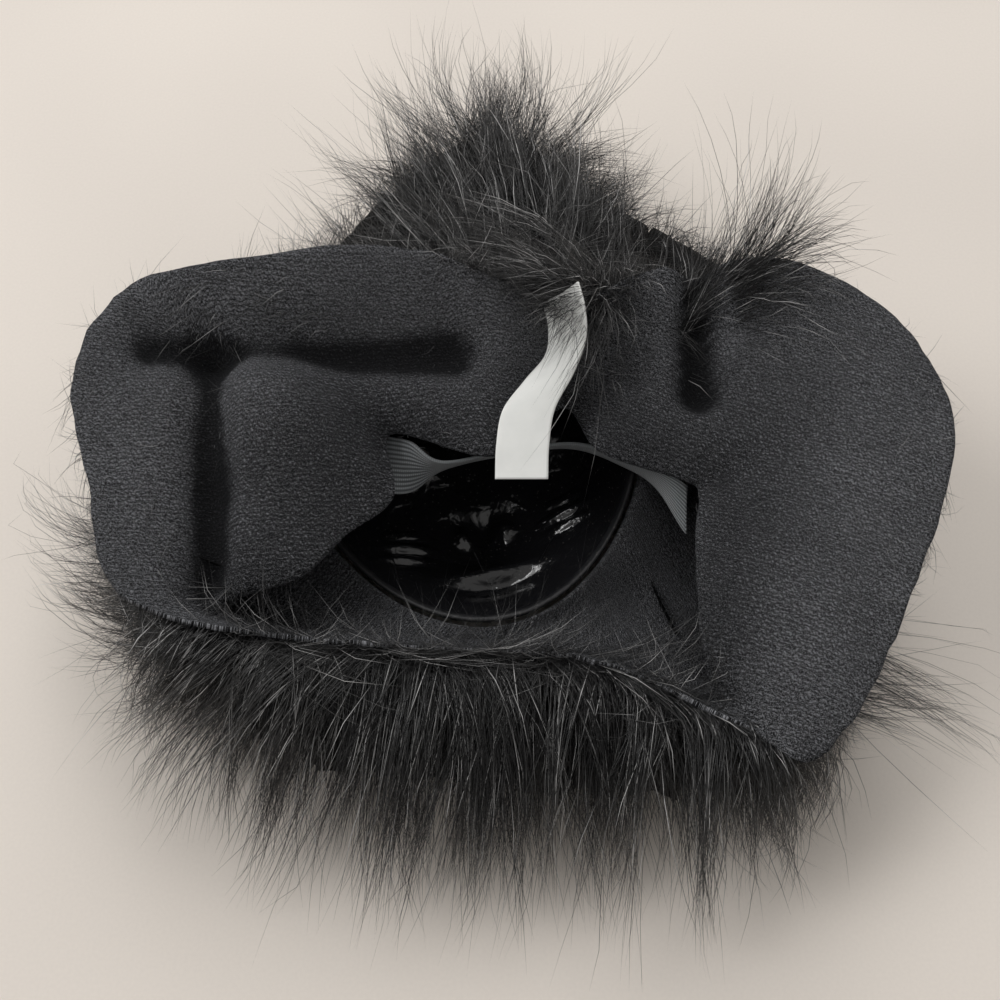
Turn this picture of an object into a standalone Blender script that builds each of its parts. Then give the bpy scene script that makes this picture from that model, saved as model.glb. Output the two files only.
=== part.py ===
"""Gorilla mask lying on its face, chin towards -Y, crown towards +Y, neck opening up.

A thin moulded face shell carries a hood of long-haired fur cloth. The neck part of the hood is
turned back over the sides and back as a cuff, so the knit backing shows on top of it.
The hood is a loft: each section runs from the shell's edge out to the side, back over the top to
the fold round the opening, and out again along the cuff to the cut rim.
"""
import math

import bmesh
import bpy
import numpy as np

MM = 0.001
SHARP_ANGLE = 40.0
BLACK_PLASTIC = (0.012, 0.012, 0.013)
BLACK_KNIT = (0.02, 0.019, 0.021)
BLACK_FUR = (0.014, 0.014, 0.014)
GREY_ELASTIC = (0.16, 0.17, 0.18)
WHITE_SATIN = (0.82, 0.82, 0.8)

# The middle of the whole outline, in the millimetres of the tables below, is the part's origin
ORIGIN = np.array([-4.3, 61.0, 0.0])

# Face shell, in millimetres and degrees: an egg outline, turned on the ground
SHELL_CENTRE = (-15.3, 43.0)
SHELL_TURN = 12.0
SHELL_HALF_WIDTH = 77.5
SHELL_HALF_LENGTH = 93.0
SHELL_EGG = 0.12
SHELL_WALL = 1.5
SHELL_EDGE_HEIGHT = 52.0
SHELL_EDGE_RISE = 3.0
SHELL_EDGE_ROLL = 5.0
SHELL_LOW = 16.0
SHELL_STEEPNESS = 2.6
SHELL_FORMS_END = 0.8
SHELL_LINES = 23

# Forms of the face: across and along from the shell's middle, how far each stands out towards the
# ground, and its half-sizes across and along
FACE_FORMS = (
    # name, across, along, out, wide, long
    ("brow_left", -25.0, 24.0, 11.0, 21.0, 9.0),
    ("brow_right", 25.0, 24.0, 11.0, 21.0, 9.0),
    ("brow_middle", 0.0, 20.0, 5.0, 12.0, 9.0),
    ("eye_left", -27.0, 2.0, -11.0, 15.0, 10.0),
    ("eye_right", 27.0, 2.0, -11.0, 15.0, 10.0),
    ("nose_bridge", 0.0, -14.0, 4.0, 9.0, 18.0),
    ("nose", 0.0, -37.0, 7.0, 18.0, 10.0),
    ("nostril_left", -9.0, -40.0, -6.0, 5.0, 5.0),
    ("nostril_right", 9.0, -40.0, -6.0, 5.0, 5.0),
    ("muzzle", 0.0, -56.0, 7.0, 33.0, 17.0),
    ("mouth", 0.0, -63.0, -7.0, 24.0, 5.0),
    ("lower_lip", 0.0, -73.0, 5.0, 20.0, 5.5),
    ("cheek_left", -40.0, -30.0, 5.0, 14.0, 16.0),
    ("cheek_right", 40.0, -30.0, 5.0, 14.0, 16.0),
)
WRINKLES = (
    # name, across, along, height, pitch, half-size
    ("wrinkles_left", -39.0, -46.0, 2.0, 7.5, 11.0),
    ("wrinkles_right", 39.0, -44.0, 2.0, 7.5, 11.0),
)

# Eye holes: across and along from the shell's middle, half-width and half-length, and how high the
# cutter stands on both sides of its middle
EYE_HOLE = (27.0, 2.0, 10.0, 5.5)
EYE_CUTTER_MIDDLE = 20.0
EYE_CUTTER_HEIGHT = 120.0

# Hood wall and the sections of its loft, anticlockwise from the centre front, in millimetres.
# edge: the place on the shell's outline in degrees; side: the wall's widest place; drop: how far
# the wall hangs below that; fold: the lip round the opening; lift: how far the cuff's middle
# stands above a straight line; rim: the cut edge; foot: the outer end of the fur on the ground;
# fur_end: where the fur stops on the section, 2 at the side, 4 at the fold, 6 at the rim; lock: the
# length of the fur's locks
HOOD_WALL = 2.0
SEAT = 0.6
SECTION_COLUMNS = ("edge", "side_x", "side_y", "side_z", "drop", "fold_x", "fold_y", "fold_z",
                   "lift", "rim_x", "rim_y", "rim_z", "foot_x", "foot_y", "fur_end", "lock")
SECTIONS = (
    # name, edge, side x y z, drop, fold x y z, lift, rim x y z, foot x y, fur_end, lock
    ("front", -90, 0, -58, 47, 0, 0, -65, 60, 0, 0, -70, 72, -6, -122, 5.7, 48),
    ("front_right", -62, 36, -58, 46, 2, 38, -68, 61, 0, 39, -75, 73, 40, -124, 5.7, 44),
    ("right_corner", -44, 78, -70, 43, 6, 78, -84, 63, 1, 88, -99, 74, 84, -124, 3.4, 40),
    ("lobe_front", -32, 112, -84, 42, 10, 78, -62, 72, 6, 114, -112, 74, 122, -112, 2.9, 34),
    ("lobe_low", -20, 132, -58, 42, 14, 78, -40, 74, 8, 141, -79, 84, 148, -74, 2.9, 30),
    ("lobe_side", -6, 146, -18, 42, 16, 79, -20, 74, 9, 167, -26, 91, 166, -22, 2.9, 20),
    ("lobe_wide", 10, 150, 28, 44, 16, 82, -2, 73, 9, 180, 20, 94, 170, 30, 2.9, 16),
    ("lobe_back", 26, 140, 76, 46, 16, 74, 3, 75, 8, 165, 60, 99, 158, 84, 2.9, 18),
    ("back_right", 42, 106, 116, 50, 12, 60, 7, 77, 4, 124, 87, 105, 118, 124, 2.9, 26),
    ("panel_right", 62, 50, 156, 52, 10, 40, 14, 80, 0, 72, 84, 110, 56, 172, 2.9, 44),
    ("notch", 84, -2, 194, 54, 12, 25, 33, 84, -2, 24, 70, 105, -4, 214, 2.9, 78),
    ("panel_left", 102, -48, 162, 52, 10, -2, 9, 84, -4, -36, 82, 122, -56, 180, 2.9, 48),
    ("back_left", 120, -86, 116, 50, 9, -45, 21, 80, 0, -100, 76, 124, -98, 128, 2.9, 22),
    ("lobe_top", 138, -136, 86, 46, 16, -43, -9, 82, 6, -151, 67, 114, -150, 98, 2.9, 20),
    ("left_wide", 156, -148, 44, 44, 16, -61, -24, 80, 4, -169, 31, 103, -170, 48, 2.9, 24),
    ("left_side", 174, -146, 2, 42, 14, -78, -40, 76, 3, -159, -8, 96, -168, -4, 2.9, 28),
    ("left_corner", 194, -132, -36, 42, 10, -108, -50, 70, 3, -143, -53, 88, -150, -60, 3.2, 32),
    ("front_left", 216, -86, -50, 43, 4, -87, -60, 62, 1, -88, -66, 80, -98, -100, 5.0, 42),
    ("front_mid", 243, -38, -56, 46, 0, -39, -64, 61, 0, -40, -69, 75, -48, -118, 5.7, 48),
)
SEAM_FRONT = 0
SEAM_BACK = 10
SEAM_GAP = 0.08
SPANS = 3
BELLY_SHARE = 0.45
CREST_SHARE = 0.5
CREST_RISE = 0.68
FOLDS_START, FOLDS_FULL = 4.1, 4.8
ROWS = (0, 0.5, 1, 1.5, 2, 2.2, 2.4, 2.65, 2.9, 3.4, 3.7, 3.85, 4, 4.15, 4.35, 4.65, 5, 5.35, 5.7, 6)

# Folds and swellings of the cuff, from one place to another on the ground: height above the
# smooth cuff (a valley is negative) and half-width
FOLDS = (
    # name, x0, y0, x1, y1, height, half-width
    ("right_crease", 82, 86, 81, 36, -14, 9),
    ("left_crease", -116, 44, -112, -44, -13, 10),
    ("left_shadow", -140, 47, -20, 50, -11, 11),
    ("left_bulge", -84, 16, -64, 2, 9, 26),
    ("right_panel_dip", 54, 44, 56, 60, -5, 14),
)

# Fur, in millimetres: how far it stands off the wall, the places where its rows start and end on a
# section, the pile over the side and the top, and the locks of each fur piece
FUR_SEAT = 1.4
FUR_START_ROWS = (0.5, 1.0, 1.5, 2.0)
FUR_TOP_SHARES = (0.2222, 0.4444, 0.7222, 1.0)
FUR_INNER_SHARE = 0.22
FUR_BULGE = 0.6
FUR_RISE = 4.0
FUR_PILE = 13.0
FUR_END_PILE = 5.0
FUR_SEAM_GAP = 0.05
FUR_PIECES = (
    # name, first and last place round the hood in spans, droop
    ("fur_beard", -6, 7, 0.75),
    ("fur_right", 7, 26, 0.45),
    ("fur_crown", 26, 37, 0.2),
    ("fur_left", 37, 51, 0.45),
)
OUTSIDE_PLACES = (0, 1, 2, 2.5, 3, 3.5, 4.2, 5)
LOCK_MIDDLE = 0.5
LOCK_TAPER = 0.55
LOCK_TIP_HEIGHT = 1.5
LOCK_MIDDLE_HEIGHT = 3.5
LOCK_LEAST_FLAT = 0.2
LOCK_ROWS = (2, 6)

# Fur on the cuff's underside, which the turning back has put between the cuff and the hood's top
CUFF_FUR_ROWS = (4.65, 5.0, 5.35, 5.7, 5.95)
CUFF_FUR_PILE = (2.8, 5.6, 7.0, 7.0, 4.2)
CUFF_FUR_DROOP = 0.35
CUFF_FUR_LOCK_SHARE = 0.8
CUFF_FUR_PIECES = (
    # name, first and last place round the hood in spans
    ("fur_cuff_right", 12, 29),
    ("fur_cuff_left", 31, 46),
)

# Head strap: places of its centre line, how far its width leans from upright towards the chin, and
# its width, which narrows where the elastic is drawn and rolls in on itself
STRAP_THICK = 1.2
STRAP_PATH = (
    # x, y, z, lean in degrees, width
    (-49, 12, 69, 72, 24),
    (-38, 11, 69, 50, 22),
    (-24, 12, 68, -15, 14),
    (0, 18, 67, -22, 12),
    (30, 22, 67, -20, 12),
    (52, 14, 68, -10, 12),
    (66, 6, 67, 10, 13),
    (77, -6, 63, 62, 20),
)
STRAP_SPANS = 3

# Care label: the line along its middle, from the seam down into the opening
LABEL_WIDTH = 21.0
LABEL_THICK = 0.8
LABEL_PATH = (
    # x, y, z, tilt of its width in degrees, width
    (24.5, 66, 113, 52, LABEL_WIDTH),
    (26.5, 56, 111, 50, LABEL_WIDTH),
    (26, 45, 107, 42, LABEL_WIDTH),
    (19.5, 34, 102, 20, LABEL_WIDTH),
    (11.5, 22, 97, 5, LABEL_WIDTH),
    (9, 9, 92, 0, LABEL_WIDTH),
    (8.5, -4, 87, 0, LABEL_WIDTH),
)
LABEL_SPANS = 3


def catmull_rom(points, place, closed):
    """Uniform Catmull-Rom spline: row i of points at place i, weights from the cubic's basis."""
    points = np.asarray(points, float)
    place = np.asarray(place, float)
    count = len(points)
    low = np.floor(place).astype(int)
    if not closed:
        low = np.clip(low, 0, count - 2)
        points = np.vstack([2 * points[0] - points[1], points, 2 * points[-1] - points[-2]])
        rows = [low + k for k in range(4)]
    else:
        rows = [(low + k - 1) % count for k in range(4)]
    t = (place - low)[:, None]
    weights = (
        (-t + 2 * t**2 - t**3) / 2,
        (2 - 5 * t**2 + 3 * t**3) / 2,
        (t + 4 * t**2 - 3 * t**3) / 2,
        (-(t**2) + t**3) / 2,
    )
    return sum(w * points[r] for w, r in zip(weights, rows))


def smooth(low, high, value):
    """0 below low, 1 above high, and a cubic between."""
    t = np.clip((value - low) / (high - low), 0, 1)
    return t * t * (3 - 2 * t)


def shell_places(disc_x, disc_y):
    """Places of the unit disc on the ground: x widens towards the forehead, then all is turned."""
    across = SHELL_HALF_WIDTH * disc_x * (1 + SHELL_EGG * disc_y)
    along = SHELL_HALF_LENGTH * disc_y
    turn = math.radians(SHELL_TURN)
    x = SHELL_CENTRE[0] + across * math.cos(turn) - along * math.sin(turn)
    y = SHELL_CENTRE[1] + across * math.sin(turn) + along * math.cos(turn)
    return x, y, across, along


def shell_edge_height(disc_x, disc_y):
    """Height of the shell's edge, which rises towards the forehead and rolls to one side."""
    return SHELL_EDGE_HEIGHT + SHELL_EDGE_RISE * disc_y + SHELL_EDGE_ROLL * disc_x


def shell_grid():
    """The face: a bowl z = low + (edge - low) r^n over the disc, less the forms that stand out."""
    line = np.linspace(-1, 1, SHELL_LINES)
    s, t = np.meshgrid(line, line, indexing="ij")
    disc_x = s * np.sqrt(1 - t**2 / 2)
    disc_y = t * np.sqrt(1 - s**2 / 2)
    radius = np.hypot(disc_x, disc_y)
    x, y, across, along = shell_places(disc_x, disc_y)
    edge = shell_edge_height(disc_x, disc_y)
    out = np.zeros_like(x)
    for _, at_x, at_y, height, wide, long in FACE_FORMS:
        out += height * np.exp(-(((across - at_x) / wide) ** 2) - ((along - at_y) / long) ** 2)
    for _, at_x, at_y, height, pitch, size in WRINKLES:
        near = np.exp(-(((across - at_x) / size) ** 2) - ((along - at_y) / size) ** 2)
        out += height * near * np.cos(2 * math.pi * (along - at_y) / pitch)
    z = SHELL_LOW + (edge - SHELL_LOW) * radius**SHELL_STEEPNESS
    z -= out * (1 - smooth(SHELL_FORMS_END, 1, radius))
    return np.stack([x, y, z], axis=-1)


def section_values(u):
    """The columns of the section table at places u round the hood."""
    table = [row[1:] for row in SECTIONS]
    values = catmull_rom(table, u, closed=True)
    turns = np.array([row[1] for row in SECTIONS] + [SECTIONS[0][1] + 360.0])
    values[:, 0] = np.interp(np.mod(u, len(SECTIONS)), np.arange(len(turns)), turns)
    return dict(zip(SECTION_COLUMNS, values.T))


def fold_height(x, y):
    """Sum of the folds: each is a bell across the line from its first place to its last."""
    total = np.zeros_like(x)
    for _, x0, y0, x1, y1, height, half_width in FOLDS:
        length2 = (x1 - x0) ** 2 + (y1 - y0) ** 2
        share = np.clip(((x - x0) * (x1 - x0) + (y - y0) * (y1 - y0)) / length2, 0, 1)
        far2 = (x - x0 - share * (x1 - x0)) ** 2 + (y - y0 - share * (y1 - y0)) ** 2
        total += height * np.exp(-far2 / half_width**2)
    return total


def hood_points(u, v):
    """The wall's middle surface at places u round the hood and v along each section, 0 to 6."""
    c = section_values(u)
    turn = np.radians(c["edge"])
    grow = 1 + (HOOD_WALL / 2 + SHELL_WALL / 2 + SEAT) / SHELL_HALF_WIDTH
    edge_x, edge_y, _, _ = shell_places(grow * np.cos(turn), grow * np.sin(turn))
    edge = np.stack([edge_x, edge_y, shell_edge_height(np.cos(turn), np.sin(turn))], axis=-1)
    side = np.stack([c["side_x"], c["side_y"], c["side_z"]], axis=-1)
    fold = np.stack([c["fold_x"], c["fold_y"], c["fold_z"]], axis=-1)
    rim = np.stack([c["rim_x"], c["rim_y"], c["rim_z"]], axis=-1)
    belly = edge + BELLY_SHARE * (side - edge)
    belly[:, 2] = np.minimum(edge[:, 2], side[:, 2]) - c["drop"]
    crest = side + CREST_SHARE * (fold - side)
    crest[:, 2] = side[:, 2] + CREST_RISE * (fold[:, 2] - side[:, 2])
    middle = (fold + rim) / 2
    middle[:, 2] += c["lift"]
    path = np.stack([edge, belly, side, crest, fold, middle, rim])
    shape = path.shape[1:]
    points = catmull_rom(path.reshape(7, -1), v, closed=False).reshape(len(v), *shape)
    on_cuff = smooth(FOLDS_START, FOLDS_FULL, np.asarray(v, float))[:, None]
    points[..., 2] += on_cuff * fold_height(points[..., 0], points[..., 1])
    return points.transpose(1, 0, 2)


def outward(grid):
    """Unit normals of a grid, on the fur side of the hood wall."""
    normal = np.cross(np.gradient(grid, axis=1), np.gradient(grid, axis=0))
    return -normal / np.linalg.norm(normal, axis=-1, keepdims=True)


def material(name, colour, roughness):
    made = bpy.data.materials.new(name)
    made.use_nodes = True
    shader = made.node_tree.nodes["Principled BSDF"]
    shader.inputs["Base Color"].default_value = (*colour, 1)
    shader.inputs["Roughness"].default_value = roughness
    shader.inputs["Metallic"].default_value = 0.0
    return made


def add_object(name, points, faces, collection, surface=None):
    """An object from points in the tables' millimetres."""
    mesh = bpy.data.meshes.new(name)
    mesh.from_pydata([tuple(p) for p in (np.asarray(points) - ORIGIN) * MM], [], faces)
    mesh.shade_smooth()
    mesh.set_sharp_from_angle(angle=math.radians(SHARP_ANGLE))
    made = bpy.data.objects.new(name, mesh)
    if surface:
        mesh.materials.append(surface)
    collection.objects.link(made)
    return made


def grid_faces(rows, columns):
    """Two triangles a cell, all cut along the same diagonal, so that layers over each other agree."""
    faces = []
    for i in range(rows - 1):
        for j in range(columns - 1):
            low = i * columns + j
            faces.append((low, low + 1, low + columns + 1))
            faces.append((low, low + columns + 1, low + columns))
    return faces


def drawn_in(grid, gap):
    """A grid with its first and last columns round the hood moved inwards by a share of a cell."""
    moved = grid.copy()
    moved[0] += gap * (grid[1] - grid[0])
    moved[-1] += gap * (grid[-2] - grid[-1])
    return moved


def sheet(name, grid, thickness, collection, surface):
    """A wall of even thickness about a grid."""
    rows, columns = grid.shape[:2]
    made = add_object(name, grid.reshape(-1, 3), grid_faces(rows, columns), collection, surface)
    wall = made.modifiers.new("wall", "SOLIDIFY")
    wall.thickness = thickness * MM
    wall.offset = 0
    return made


def band_grid(path, spans, direction):
    """A strip along a spline, spread to both sides along direction(angle in radians)."""
    places = np.linspace(0, len(path) - 1, (len(path) - 1) * spans + 1)
    values = catmull_rom(path, places, closed=False)
    across = direction(np.radians(values[:, 3])) * values[:, 4:] / 2
    centre = values[:, :3]
    return np.stack([centre + across, centre, centre - across], axis=1)


def strap_direction(lean):
    return np.stack([0 * lean, -np.sin(lean), -np.cos(lean)], axis=-1)


def label_direction(tilt):
    return np.stack([np.cos(tilt), 0 * tilt, np.sin(tilt)], axis=-1)


def build_face_shell(collection, cutters):
    shell = sheet("face_shell", shell_grid(), SHELL_WALL, collection,
                  material("black_plastic", BLACK_PLASTIC, 0.16))
    across, along, wide, long = EYE_HOLE
    for side, name in ((-1, "eye_cutter_left"), (1, "eye_cutter_right")):
        x, y, _, _ = shell_places(side * across / SHELL_HALF_WIDTH, along / SHELL_HALF_LENGTH)
        bpy.ops.mesh.primitive_cylinder_add(vertices=16, radius=1, depth=EYE_CUTTER_HEIGHT * MM)
        cutter = bpy.context.object
        cutter.name = name
        cutter.location = (np.array([x, y, EYE_CUTTER_MIDDLE]) - ORIGIN) * MM
        cutter.rotation_euler[2] = math.radians(SHELL_TURN)
        cutter.scale = (wide * MM, long * MM, 1)
        cutter.hide_render = True
        cutter.display_type = "WIRE"
        for old in cutter.users_collection:
            old.objects.unlink(cutter)
        cutters.objects.link(cutter)
        hole = shell.modifiers.new(name, "BOOLEAN")
        hole.operation = "DIFFERENCE"
        hole.object = cutter


def build_hood(collection):
    knit = material("black_knit", BLACK_KNIT, 0.95)
    halves = (("hood_right", SEAM_FRONT, SEAM_BACK), ("hood_left", SEAM_BACK, len(SECTIONS)))
    for name, first, last in halves:
        u = np.arange(first * SPANS, last * SPANS + 1) / SPANS
        grid = drawn_in(hood_points(u, np.array(ROWS)), SEAM_GAP)
        sheet(name, grid, HOOD_WALL, collection, knit)


def fur_inside(u):
    """The fur's sewn side: the wall's own rows out to the side, and on to the section's fur_end."""
    end = section_values(u)["fur_end"]
    side = FUR_START_ROWS[-1]
    places = [np.full_like(u, row) for row in FUR_START_ROWS]
    places += [side + (end - side) * share for share in FUR_TOP_SHARES]
    rows = [np.stack([hood_points(np.array([a]), np.array([b]))[0, 0] for a, b in zip(u, place)])
            for place in places]
    return np.stack(rows, axis=1)


def cuff_inside(u):
    return hood_points(u, np.array(CUFF_FUR_ROWS))


def wall_and_normals(u, surface):
    """A surface at places u and its normals, which take in the next place at each end."""
    beyond = np.concatenate([[u[0] - 1 / SPANS], u, [u[-1] + 1 / SPANS]])
    grid = surface(beyond)
    return grid[1:-1], outward(grid)[1:-1]


def fur_outside(u, wall, normal):
    """The fur's loose side: down from the shell's edge, flat on the ground out to the foot, up round
    the side and over the top to where the fur ends."""
    c = section_values(u)
    start, end = wall[:, 0], wall[:, -1]
    foot = np.stack([c["foot_x"], c["foot_y"], 0 * u], axis=-1)
    side = np.stack([c["side_x"], c["side_y"], c["side_z"]], axis=-1)
    inner = start + FUR_INNER_SHARE * (foot - start)
    inner[:, 2] = 0
    bulge = side + FUR_BULGE * (foot - side)
    bulge[:, 2] = side[:, 2] + FUR_RISE
    near_top = wall.shape[1] - 2
    top = wall[:, near_top] + FUR_PILE * normal[:, near_top]
    low = start - np.array([0, 0, FUR_END_PILE])
    last = end + FUR_END_PILE * normal[:, -1]
    path = np.stack([low, inner, foot, bulge, top, last])
    points = catmull_rom(path.reshape(6, -1), OUTSIDE_PLACES, closed=False)
    points = points.reshape(len(OUTSIDE_PLACES), *path.shape[1:]).transpose(1, 0, 2)
    points[..., 2] = np.maximum(points[..., 2], 0)
    return points


def lock(corners, length, droop):
    """A tapered bent lock on a cell of four corners: its middle ring's four places and its tip."""
    centre = corners.mean(axis=0)
    normal = np.cross(corners[3] - corners[1], corners[2] - corners[0])
    normal /= np.linalg.norm(normal)
    flat = normal * (1, 1, 0)
    flat /= max(np.linalg.norm(flat), LOCK_LEAST_FLAT)
    lean = normal * (1 - droop) + flat * droop
    middle = centre + lean * length * LOCK_MIDDLE
    tip = middle + (flat - np.array([0, 0, droop])) * length * (1 - LOCK_MIDDLE)
    middle[2] = max(middle[2], LOCK_MIDDLE_HEIGHT)
    tip[2] = max(tip[2], LOCK_TIP_HEIGHT)
    ring = middle + (corners - centre) * LOCK_TAPER
    ring[:, 2] = np.maximum(ring[:, 2], LOCK_TIP_HEIGHT / 2)
    return ring, tip


def fur_object(name, inside, outside, lengths, droop, on_cell, collection, surface):
    """A closed layer between two grids, with a lock drawn out of each cell that on_cell picks."""
    rows, columns = inside.shape[:2]
    points = [*inside.reshape(-1, 3), *outside.reshape(-1, 3)]
    shift = rows * columns
    faces = grid_faces(rows, columns)
    for i in range(rows - 1):
        for j in range(columns - 1):
            low = shift + i * columns + j
            corners = (low, low + 1, low + columns + 1, low + columns)
            if not on_cell(i, j):
                faces += [corners[:3], (corners[0], *corners[2:])]
                continue
            ring, tip = lock(np.array([points[k] for k in corners]), lengths[i], droop)
            base = len(points)
            points += [*ring, tip]
            for k in range(4):
                n = (k + 1) % 4
                faces.append((corners[k], corners[n], base + n, base + k))
                faces.append((base + k, base + n, base + 4))
    last_row = (rows - 1) * columns
    for j in range(columns - 1):
        for low in (j, last_row + j):
            faces += [(low, low + 1, shift + low + 1), (low, shift + low + 1, shift + low)]
    for i in range(rows - 1):
        for low in (i * columns, i * columns + columns - 1):
            faces.append((low, low + columns, shift + low + columns, shift + low))
    made = add_object(name, points, faces, collection, surface)
    turned = bmesh.new()
    turned.from_mesh(made.data)
    bmesh.ops.recalc_face_normals(turned, faces=turned.faces)
    bmesh.ops.triangulate(turned, faces=turned.faces)
    turned.to_mesh(made.data)
    turned.free()


def build_fur(collection, hair):
    for name, first, last, droop in FUR_PIECES:
        u = np.arange(first, last + 1) / SPANS
        middle, normal = wall_and_normals(u, fur_inside)
        inside = drawn_in(middle + (HOOD_WALL / 2 + FUR_SEAT) * normal, FUR_SEAM_GAP)
        outside = drawn_in(fur_outside(u, middle, normal), FUR_SEAM_GAP)

        def on_cell(i, j, cells=len(u) - 1):
            return (i + j) % 2 == 0 and 0 < i < cells - 1 and LOCK_ROWS[0] <= j < LOCK_ROWS[1]

        fur_object(name, inside, outside, section_values(u)["lock"], droop, on_cell, collection, hair)


def build_cuff_fur(collection, hair):
    for name, first, last in CUFF_FUR_PIECES:
        u = np.arange(first, last + 1) / SPANS
        middle, normal = wall_and_normals(u, cuff_inside)
        inside = middle + (HOOD_WALL / 2 + FUR_SEAT) * normal
        outside = inside + np.array(CUFF_FUR_PILE)[None, :, None] * normal
        lengths = CUFF_FUR_LOCK_SHARE * section_values(u)["lock"]

        def on_cell(i, j, cells=len(u) - 1):
            return j == len(CUFF_FUR_ROWS) - 2 and i % 2 == 1 and i < cells - 1

        fur_object(name, inside, outside, lengths, CUFF_FUR_DROOP, on_cell, collection, hair)


def build_strap(collection):
    grid = band_grid(STRAP_PATH, STRAP_SPANS, strap_direction)
    sheet("head_strap", grid, STRAP_THICK, collection,
          material("grey_elastic", GREY_ELASTIC, 0.8))


def build_label(collection):
    grid = band_grid(LABEL_PATH, LABEL_SPANS, label_direction)
    sheet("care_label", grid, LABEL_THICK, collection,
          material("white_satin", WHITE_SATIN, 0.5))


def main():
    for old in list(bpy.data.objects):
        bpy.data.objects.remove(old)
    mask = bpy.data.collections.new("gorilla_mask")
    cutters = bpy.data.collections.new("cutters")
    bpy.context.scene.collection.children.link(mask)
    bpy.context.scene.collection.children.link(cutters)
    build_face_shell(mask, cutters)
    build_hood(mask)
    hair = material("black_fur", BLACK_FUR, 0.6)
    build_fur(mask, hair)
    build_cuff_fur(mask, hair)
    build_strap(mask)
    build_label(mask)


main()
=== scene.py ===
"""A pull-on gorilla mask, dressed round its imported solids.

It lies on its face with the chin towards -Y. The neck of its fur hood is turned back as a cuff, so
the knit side of the fur cloth shows on top and the inside of the moulded face shows in the middle.
Tables are in millimetres from the middle of the face, and points go to metres as they are placed.
"""
import math

import bpy
import numpy as np
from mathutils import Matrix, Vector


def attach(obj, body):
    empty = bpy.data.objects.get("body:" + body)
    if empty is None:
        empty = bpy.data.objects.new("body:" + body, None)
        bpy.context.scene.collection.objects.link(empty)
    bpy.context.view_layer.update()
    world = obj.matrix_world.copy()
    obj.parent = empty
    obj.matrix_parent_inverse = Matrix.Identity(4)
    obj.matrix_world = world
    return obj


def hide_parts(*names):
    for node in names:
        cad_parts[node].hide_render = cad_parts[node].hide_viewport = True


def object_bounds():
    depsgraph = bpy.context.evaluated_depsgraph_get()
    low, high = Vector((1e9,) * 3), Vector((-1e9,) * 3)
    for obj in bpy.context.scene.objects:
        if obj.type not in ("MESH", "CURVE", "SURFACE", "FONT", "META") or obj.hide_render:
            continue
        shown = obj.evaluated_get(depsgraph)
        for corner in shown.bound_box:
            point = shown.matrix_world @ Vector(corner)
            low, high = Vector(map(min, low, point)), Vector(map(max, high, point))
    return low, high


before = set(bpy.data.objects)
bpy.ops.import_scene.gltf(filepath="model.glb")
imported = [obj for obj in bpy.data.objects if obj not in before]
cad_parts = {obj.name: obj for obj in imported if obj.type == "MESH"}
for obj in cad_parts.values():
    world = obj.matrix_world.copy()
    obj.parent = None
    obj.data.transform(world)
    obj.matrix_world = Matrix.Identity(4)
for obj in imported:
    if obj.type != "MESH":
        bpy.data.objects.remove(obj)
cad_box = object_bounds()

# Face shell
# A thin sheet of black vinyl, drawn over a mould of a gorilla's face and seen here from its inner
# side. The mould's forms stand out towards the ground, and the eye openings are punched.
ORIGIN = np.array([-4.3, 61.0, 0.0])
SHELL_CENTRE = (-15.3, 43.0)
SHELL_TURN = math.radians(12.0)
SHELL_HALF_WIDTH, SHELL_HALF_LENGTH, SHELL_EGG = 77.5, 93.0, 0.12
SHELL_EDGE, SHELL_EDGE_RISE, SHELL_EDGE_ROLL = 52.0, 3.0, 5.0
SHELL_LOW, SHELL_STEEPNESS, SHELL_FORMS_END = 16.0, 2.6, 0.8
SHELL_WALL = 1.5
SHELL_LINES = 105
FACE_FORMS = (
    # name, across, along, out, wide, long
    ("brow_left", -25.0, 24.0, 11.0, 21.0, 9.0),
    ("brow_right", 25.0, 24.0, 11.0, 21.0, 9.0),
    ("brow_middle", 0.0, 20.0, 5.0, 12.0, 9.0),
    ("eye_left", -27.0, 2.0, -11.0, 15.0, 10.0),
    ("eye_right", 27.0, 2.0, -11.0, 15.0, 10.0),
    ("nose_bridge", 0.0, -14.0, 4.0, 9.0, 18.0),
    ("nose", 0.0, -37.0, 7.0, 18.0, 10.0),
    ("nostril_left", -9.0, -40.0, -6.0, 5.0, 5.0),
    ("nostril_right", 9.0, -40.0, -6.0, 5.0, 5.0),
    ("muzzle", 0.0, -56.0, 7.0, 33.0, 17.0),
    ("mouth", 0.0, -63.0, -7.0, 24.0, 5.0),
    ("lower_lip", 0.0, -73.0, 5.0, 20.0, 5.5),
    ("cheek_left", -40.0, -30.0, 5.0, 14.0, 16.0),
    ("cheek_right", 40.0, -30.0, 5.0, 14.0, 16.0),
)
WRINKLES = (
    # name, across, along, height, pitch, half-size
    ("wrinkles_left", -39.0, -46.0, 2.6, 7.5, 11.0),
    ("wrinkles_right", 39.0, -44.0, 2.6, 7.5, 11.0),
)
EYE_ACROSS, EYE_ALONG, EYE_WIDE, EYE_LONG = 27.0, 2.0, 10.0, 5.5
RIM_DULL, RIM_BAND = 0.6, (0.955, 0.99)


def smooth(low, high, value):
    """0 below low, 1 above high, and the cubic 3t^2 - 2t^3 between."""
    t = np.clip((value - low) / (high - low), 0, 1)
    return t * t * (3 - 2 * t)


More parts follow.
